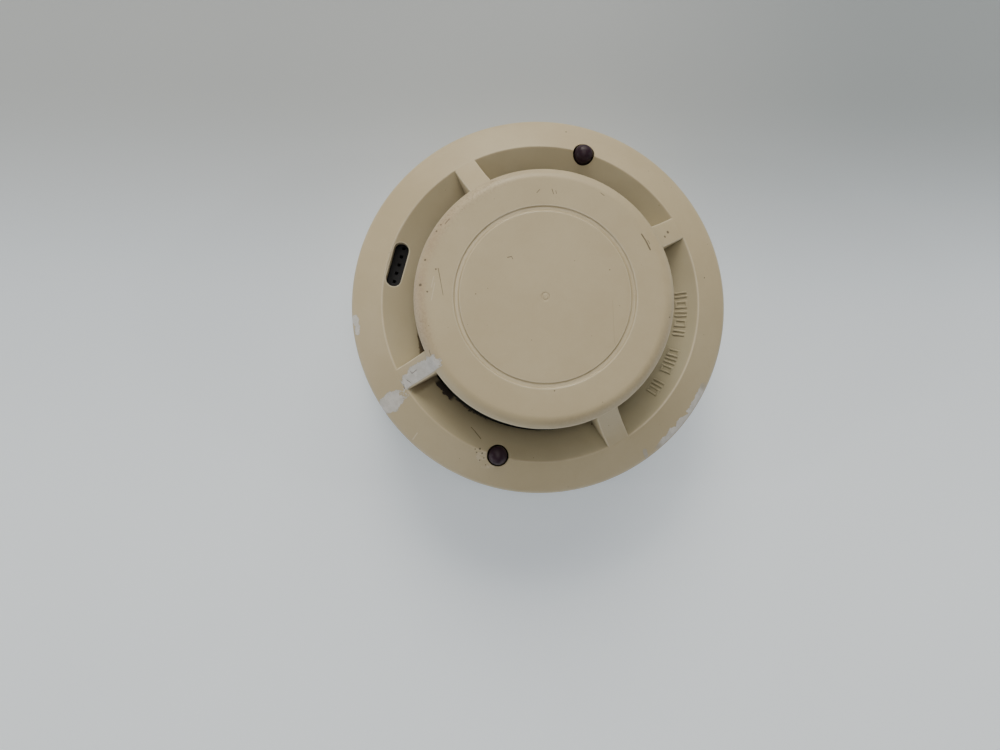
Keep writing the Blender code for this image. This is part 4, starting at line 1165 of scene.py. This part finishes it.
def guard_fins(bm):
    for k in range(36):
        a = 10.0 * k
        if k % 3 == 0:
            sector(bm, 29.3, 30.8, a - 1.6, a + 1.6, 22.6, 36.0, 3)
        else:
            sector(bm, 29.6, 30.5, a - 0.9, a + 0.9, 22.6, 36.0, 2)
    for z in (27.2, 31.4):
        pass


def guard_ring(bm):
    profile = rounded([(29.0, 35.5, 0.3), (31.1, 35.5, 0.3), (31.1, 37.0, 0.5), (29.0, 37.0, 0.5)], 20)
    spun(bm, profile, 144)


def guard_hoops(bm):
    for z in (28.0, 32.0):
        profile = rounded([(29.5, z - 0.4, 0.25), (30.6, z - 0.4, 0.25),
                           (30.6, z + 0.4, 0.25), (29.5, z + 0.4, 0.25)], 30)
        spun(bm, profile, 144)


def guard_cuts(bm):
    for r, a in POSTS:
        x, y = polar(r, a)
        drum(bm, x, y, 3.1, 20, 25, 36)


piece("guard", shaped("guard", guard_disc, [guard_fins, guard_ring, guard_hoops], guard_cuts),
      BLACK, "head", ["air_guard"])


def stem_tube(bm):
    spun(bm, rounded([(1.3, 21.7, 0.05), (2.6, 21.7, 0.1), (2.6, 22.9, 0.2), (2.2, 22.9, 0.1),
                      (2.0, 30.3, 0.2), (1.3, 30.3, 0.15)], 20), 48)


piece("stem", shaped("stem", stem_tube), NYLON, "head", ["thermistor_stem"])


def bead(r, h, z):
    def make(bm):
        pts = [(0, z - h)]
        for k in range(1, 16):
            a = -pi / 2 + pi * k / 16
            pts.append((r * cos(a), z + h * sin(a)))
        pts.append((0, z + h))
        spun(bm, pts, 36)
    return make


def round_leads(gap, r, z0, z1):
    def make(bm):
        for s in (-1, 1):
            drum(bm, s * gap, 0, r, z0, z1, 12)
    return make


piece("sensing_bead", shaped("sensing_bead", bead(1.4, 2.0, 33.4),
                             round_leads(0.6, 0.22, 21.7, 33.0)), GLAZE, "head",
      ["sensing_thermistor"])
x, y = polar(40.5, 128.0)
piece("reference_bead", shaped("reference_bead", bead(1.2, 1.0, 24.2),
                               round_leads(0.5, 0.17, 21.7, 24.0)), GLAZE, "head",
      ["reference_thermistor"], (x, y, 0))

# -------------------------------------------------------- parts under the board
def chip_body(bm):
    box(bm, 0, 0, 10.0, 7.6, 17.2, 19.2)


def chip_pins(bm):
    for k in range(4):
        for s in (-1, 1):
            box(bm, (k - 1.5) * 2.3, s * 4.2, 0.5, 1.6, 18.1, 19.5)


piece("controller", shaped("controller", chip_body, chip_pins), EPOXY, "head",
      ["controller_chip"], (7.0, -1.0, 0), 20, bevel=0.15)


def cap_can(bm):
    spun(bm, rounded([(0, 11.2, 0), (3.15, 11.2, 0.35), (3.15, 18.1, 0.2), (2.85, 18.3, 0.15),
                      (3.15, 18.6, 0.2), (3.15, 19.5, 0.2), (0, 19.5, 0)], 18), 48)


piece("capacitor", shaped("capacitor", cap_can), SLEEVE, "head", ["filter_capacitor"],
      (-9.0, 8.0, 0))


def varistor_disc(bm):
    pts = [(0, -1.5)]
    ring = rounded([(0, -1.5, 0), (3.4, -1.5, 0.9), (3.4, 1.5, 0.9), (0, 1.5, 0)], 15)
    spun(bm, ring, 48)
    bmesh.ops.rotate(bm, verts=bm.verts[:], cent=(0, 0, 0), matrix=Matrix.Rotation(pi / 2, 3, 'X'))
    bmesh.ops.translate(bm, verts=bm.verts[:], vec=(0, 0, 14.8 * MM))


def varistor_leads(bm):
    for s in (-1, 1):
        drum(bm, s * 1.8, s * 0.6, 0.32, 16.5, 19.5, 16)


piece("varistor", shaped("varistor", varistor_disc, varistor_leads), COATING, "head",
      ["surge_varistor"], (-7.0, -14.0, 0), 25)


def bridge_body(bm):
    box(bm, 0, 0, 6.4, 5.0, 16.6, 19.1)


def bridge_pins(bm):
    for sx in (-1, 1):
        for sy in (-1, 1):
            box(bm, sx * 2.4, sy * 2.6, 0.7, 1.4, 17.9, 19.5)


piece("bridge", shaped("bridge", bridge_body, bridge_pins), EPOXY, "head", ["bridge_rectifier"],
      (2.5, 16.0, 0), -15, bevel=0.15)


def reed_capsule(bm):
    spun(bm, rounded([(0, -7.0, 0), (0.7, -6.7, 0.4), (1.1, -5.9, 0.5), (1.1, 5.9, 0.5),
                      (0.7, 6.7, 0.4), (0, 7.0, 0)], 15), 32)
    bmesh.ops.rotate(bm, verts=bm.verts[:], cent=(0, 0, 0), matrix=Matrix.Rotation(pi / 2, 3, 'Y'))
    bmesh.ops.translate(bm, verts=bm.verts[:], vec=(0, 0, 17.6 * MM))


def reed_leads(bm):
    for s in (-1, 1):
        box(bm, s * 7.6, 0, 2.6, 0.5, 17.35, 17.85)
        box(bm, s * 8.7, 0, 0.6, 0.46, 17.4, 19.5)


x, y = polar(33.0, 225.0)
piece("reed", shaped("reed", reed_capsule, reed_leads), GLASS, "head", ["reed_switch"],
      (x, y, 0), 315)


def driver_case(bm):
    pts = []
    for k in range(25):
        a = radians(-30 + 240 * k / 24)
        pts.append((2.3 * cos(a), 2.3 * sin(a)))
    prism(bm, pts, 12.6, 17.2)


def driver_legs(bm):
    for s in (-1, 0, 1):
        box(bm, s * 1.27, 0.2, 0.45, 0.45, 16.5, 19.5)


piece("driver", shaped("driver", driver_case, driver_legs), EPOXY, "head", ["lamp_driver"],
      (-24.5, 14.0, 0), 60, bevel=0.12)

# ---------------------------------------------------------------- the stage
floor_mat = Graph("pale_floor")
mottle = floor_mat.noise(0.012, 3.0)
grain = floor_mat.noise(0.9, 3.0)
# painted light: the floor is paler towards the bottom of the view and darker towards the top
along = floor_mat.add(floor_mat.mul(floor_mat.x, -0.27577), floor_mat.mul(floor_mat.y, 0.96039))
floor_light_falloff = floor_mat.step(along, -75.0, 80.0)
floor_color = floor_mat.mix(floor_light_falloff, (0.790, 0.850, 0.910), (0.500, 0.545, 0.590))
floor_color = floor_mat.mix(floor_mat.step(mottle, 0.3, 0.7, 0.0, 0.10), floor_color, (0.60, 0.63, 0.66))
# painted shade: the floor's top-right corner is darkened
beside = floor_mat.add(floor_mat.mul(floor_mat.x, 0.96093), floor_mat.mul(floor_mat.y, 0.27443))
floor_shaded_corner = floor_mat.mul(floor_mat.step(along, -10.0, 70.0), floor_mat.step(beside, 0.0, 120.0))
floor_color = floor_mat.mix(floor_mat.mul(floor_shaded_corner, 0.9), floor_color, (0.71, 0.74, 0.76), 'MULTIPLY')
# painted light: the floor glows, most towards the bottom of the view, though it is no lamp
lit_from_below = floor_mat.step(along, 0.0, 75.0, 1.0, 0.04)
floor_mat.finish(floor_color, 0.72, floor_mat.bump(grain, 0.03, 0.5),
                 Emission_Color=(0.72, 0.84, 1.0), Emission_Strength=floor_mat.mul(lit_from_below, 0.27))
fbm = bmesh.new()
bmesh.ops.create_grid(fbm, x_segments=8, y_segments=8, size=3.0)
floor_me = bpy.data.meshes.new("floor")
fbm.to_mesh(floor_me)
fbm.free()
floor_me.materials.append(floor_mat.mat)
floor = bpy.data.objects.new("floor", floor_me)
floor.location = (0, 0, -0.0003)
bpy.context.scene.collection.objects.link(floor)

# camera: nearly along the part's axis, a little above and left of centre
CAM_RIGHT = Vector((0.96093, 0.27443, 0.03595))
CAM_UP = Vector((-0.27577, 0.96039, 0.03993))
CAM_BACK = Vector((-0.02357, -0.04828, 0.99856))
cam_data = bpy.data.cameras.new("camera")
cam_data.sensor_width = 36.0
cam_data.lens = 27.036
cam_data.clip_start = 0.01
camera = bpy.data.objects.new("camera", cam_data)
bpy.context.scene.collection.objects.link(camera)
rot = Matrix((CAM_RIGHT, CAM_UP, CAM_BACK)).transposed().to_4x4()
camera.matrix_world = Matrix.Translation(Vector((-0.010113, -0.031501, 0.23214))) @ rot
bpy.context.scene.camera = camera


def image_dir(angle, off_axis):
    """A direction leaning off the axis towards an angle in the picture."""
    a, t = radians(angle), radians(off_axis)
    return (CAM_RIGHT * cos(a) + CAM_UP * sin(a)) * sin(t) + Vector((0, 0, 1)) * cos(t)


def soft_sun(name, toward, strength, spread, color=(1, 1, 1)):
    data = bpy.data.lights.new(name, 'SUN')
    data.energy = pi * strength
    data.angle = radians(spread)
    data.color = color
    obj = bpy.data.objects.new(name, data)
    bpy.context.scene.collection.objects.link(obj)
    obj.rotation_euler = Vector(toward).normalized().to_track_quat('Z', 'Y').to_euler()
    return obj


GAIN = 1.10
WARM = (1.0, 0.940, 0.825)
PALE = (1.0, 0.975, 0.930)
for i, (off, ang, power, tint) in enumerate((
        (60, 98, 0.482, WARM), (48, 98, 0.112, WARM), (60, 68, 0.196, WARM),
        (3, 0, 0.128, WARM), (18, 98, 0.080, WARM), (60, 128, 0.034, WARM),
        (86, 308, 0.120, PALE), (86, 338, 0.034, PALE), (72, 300, 0.022, PALE),
        (60, 248, 0.072, PALE), (72, 218, 0.078, PALE), (86, 218, 0.060, PALE),
        (86, 188, 0.120, PALE))):
    soft_sun(f"soft_light_{i}", image_dir(ang, off), power * GAIN, 28, tint)
# two smaller panels, left and right, that put a glint in the groove
soft_sun("panel_left", image_dir(181, 66), 0.055 * GAIN, 3, PALE)
soft_sun("panel_right", image_dir(1, 66), 0.042 * GAIN, 3, PALE)

# soft surroundings
world = bpy.data.worlds.new("studio")
world.use_nodes = True
back = world.node_tree.nodes["Background"]
back.inputs["Color"].default_value = (0.84, 0.93, 1.0, 1.0)
back.inputs["Strength"].default_value = 0.022 * GAIN
# the far wall, seen only past the floor's edge, is plain pale grey
wall = world.node_tree.nodes.new("ShaderNodeBackground")
wall.inputs["Color"].default_value = (0.80, 0.85, 0.90, 1.0)
wall.inputs["Strength"].default_value = 0.42
path = world.node_tree.nodes.new("ShaderNodeLightPath")
blend = world.node_tree.nodes.new("ShaderNodeMixShader")
links = world.node_tree.links
links.new(path.outputs["Is Camera Ray"], blend.inputs[0])
links.new(back.outputs[0], blend.inputs[1])
links.new(wall.outputs[0], blend.inputs[2])
links.new(blend.outputs[0], world.node_tree.nodes["World Output"].inputs["Surface"])
bpy.context.scene.world = world
